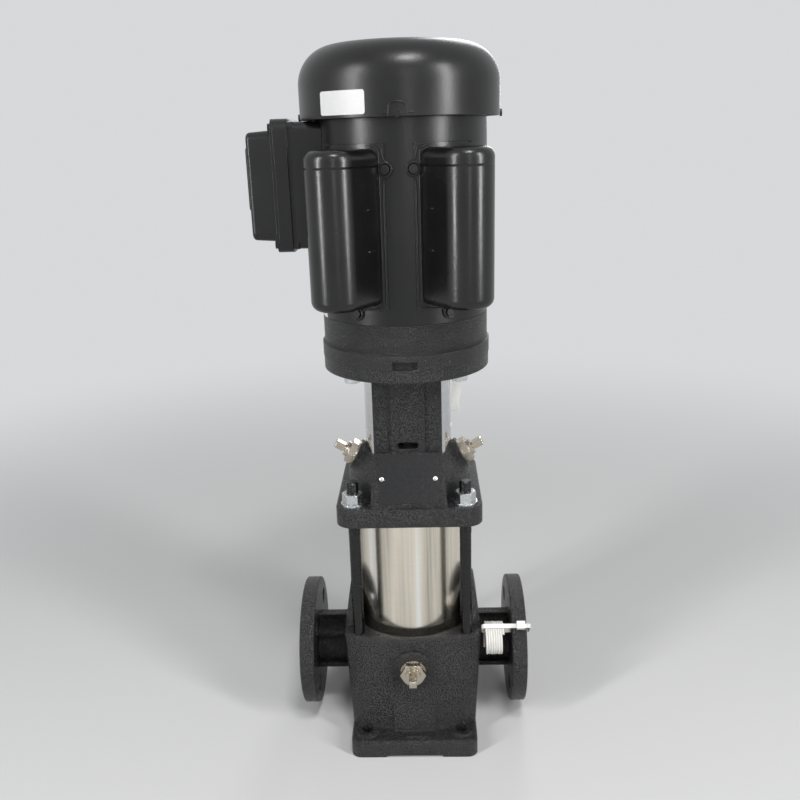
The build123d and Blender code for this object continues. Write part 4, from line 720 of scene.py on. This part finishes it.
def addEars():
    for count, (azimuth, height) in enumerate(coverEars["places"]):
        clearSelection()
        radius, foot, rise = coverEars["radius"], coverEars["foot"], coverEars["rise"]
        bpy.ops.mesh.primitive_cylinder_add(vertices=40, radius=radius, depth=foot)
        piece = bpy.context.object
        editFaces(piece, lambda face: face.normal.z > 0.9)
        for border, lift in ((coverEars["lip"], rise), (coverEars["rim"], -rise)):
            bpy.ops.mesh.inset(thickness=border)
            bpy.ops.mesh.extrude_region_move(TRANSFORM_OT_translate={"value": (0, 0, lift)})
        bpy.ops.object.mode_set(mode="OBJECT")
        roundEdges(piece, coverEars["rounding"])
        outward = compass(azimuth, 1, 0)
        turnTowards(piece, compass(azimuth, coverEars["shell"], height), outward)
        finishPiece(piece, "coverEar" + str(count + 1), finishes["satin_black"])


def addBead(name, points, radius, thickness, slot):
    # pressed line that follows the round of the shell or guard
    places = [compass(azimuth, radius, height) for azimuth, height in points]
    line = newLine(name, places, thickness, 3, 5)
    finishPiece(meshFromLine(name, line), name, finishes[slot])


coverBoss = {
    "radius": 0.0950,
    "thickness": 0.0008,
    "dimple": 0.0009,
    "dimpleReach": 1.1,
    "dimpleRise": 0.0004,
    "arch": [(-4.9, 0.6462), (-4.9, 0.6505), (-4.2, 0.6555), (0, 0.6575), (4.2, 0.6555),
             (4.9, 0.6505), (4.9, 0.6462)],
    "dimples": [(-7.2, 0.6478), (7.2, 0.6478)],
}


def addCoverBoss():
    # small arched lip round the front screw of the fan cover, with a dimple to each side
    addBead("bossArch", coverBoss["arch"], coverBoss["radius"], coverBoss["thickness"], "satin_black")
    for word, (azimuth, height) in zip(("Left", "Right"), coverBoss["dimples"]):
        reach, rise = coverBoss["dimpleReach"], coverBoss["dimpleRise"]
        points = [(azimuth - reach, height), (azimuth, height + rise), (azimuth + reach, height)]
        addBead("bossDimple" + word, points, coverBoss["radius"], coverBoss["dimple"], "satin_black")


def addCoverEdges():
    for side, word in ((-1, "Left"), (1, "Right")):
        for line, name in (("edge", "coverEdge"), ("fold", "coverFold")):
            points = [(side * azimuth, height) for azimuth, height in coverEars[line]]
            radius, thickness = coverEars[line + "Radius"], coverEars[line + "Thickness"]
            addBead(name + word, points, radius, thickness, "satin_black")


addEars()
addCoverEdges()
addCoverBoss()
print("cover ears and edges are pressed")

threads = {
    "bolt": 0.006,
    "pitch": 0.00175,
    "ridge": 0.00042,
    "steps": 14,
    "stretches": [(0.2362, 0.2492), (0.2858, 0.2932)],
    "tipRoom": 0.001,
}


def threadPoints(start, end):
    turns = (end - start) / threads["pitch"]
    count = int(turns * threads["steps"])
    points = []
    for index in range(count + 1):
        share = index / count
        angle = 2 * math.pi * turns * share
        points.append((threads["bolt"] * math.cos(angle), threads["bolt"] * math.sin(angle),
                       start + (end - start) * share))
    return points


def addThreads():
    # thread ridges on the bare ends of the staybolts, wound once and copied to each bolt
    low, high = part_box("staybolts")
    radius = threads["bolt"]
    middles = [(x, y) for x in (low[0] + radius, high[0] - radius)
               for y in (low[1] + radius, high[1] - radius)]
    for level, (start, end) in zip(("Low", "High"), threads["stretches"]):
        points = threadPoints(start, min(end, high[2] - threads["tipRoom"]))
        ridge = newLine("threadRidge", points, threads["ridge"], 1, 2)
        for number, (x, y) in enumerate(middles):
            name = "thread" + level + str(number + 1)
            piece = meshFromLine(name, ridge.copy(), (x, y, 0))
            finishPiece(piece, name, finishes["rod_black"])


addThreads()
print("staybolt ends are threaded")

guardHems = {
    "radius": 0.0455,
    "thickness": 0.0006,
    "from": 50,
    "to": 130,
    "front": 0.3335,
    "rear": 0.3375,
    "steps": 8,
}


def addGuardHems():
    # the folded line near the foot of each guard, a little higher at the rear
    for side, word in ((-1, "Left"), (1, "Right")):
        points = []
        for step in range(guardHems["steps"] + 1):
            share = step / guardHems["steps"]
            azimuth = guardHems["from"] + share * (guardHems["to"] - guardHems["from"])
            height = guardHems["front"] + share * (guardHems["rear"] - guardHems["front"])
            points.append((side * azimuth, height))
        addBead("guardHem" + word, points, guardHems["radius"], guardHems["thickness"], "guard_steel")


addGuardHems()
print("guards are hemmed")

louvres = {
    "length": 0.0105,
    "width": 0.0028,
    "rise": 0.0011,
    "heights": (0.5675, 0.531),
    # the inner side of a cover runs from its round barrel to its small toe
    "barrel": (0.0585, -0.092),
    "barrelRadius": 0.0245,
    "toe": (0.020, -0.079),
    "toeRadius": 0.0035,
    "share": 0.62,
    "sunk": 0.0001,
}


def louvrePlace(side, height):
    barrel = Vector((side * louvres["barrel"][0], louvres["barrel"][1], height))
    toe = Vector((side * louvres["toe"][0], louvres["toe"][1], height))
    along = toe - barrel
    outward = Vector((side * along.y, -side * along.x, 0)).normalized()
    if outward.y > 0:
        outward = -outward
    lean = math.asin((louvres["barrelRadius"] - louvres["toeRadius"]) / along.length)
    outward = Matrix.Rotation(-side * lean, 3, "Z") @ outward
    start = barrel + outward * louvres["barrelRadius"]
    end = toe + outward * louvres["toeRadius"]
    return start + (end - start) * louvres["share"] - outward * louvres["sunk"], outward


def addLouvres():
    # two small pressed lips on the inner side of each capacitor cover
    for side, word in ((-1, "Left"), (1, "Right")):
        for count, height in enumerate(louvres["heights"]):
            clearSelection()
            piece = addHalfBall(24, 12, 0.5)
            piece.scale = (louvres["length"], louvres["width"], louvres["rise"] * 2)
            bpy.ops.object.transform_apply(location=False, rotation=False, scale=True)
            place, outward = louvrePlace(side, height)
            turnTowards(piece, place, outward)
            finishPiece(piece, "louvre" + word + str(count + 1), finishes["cover_black"])


addLouvres()
print("cover louvres are pressed")
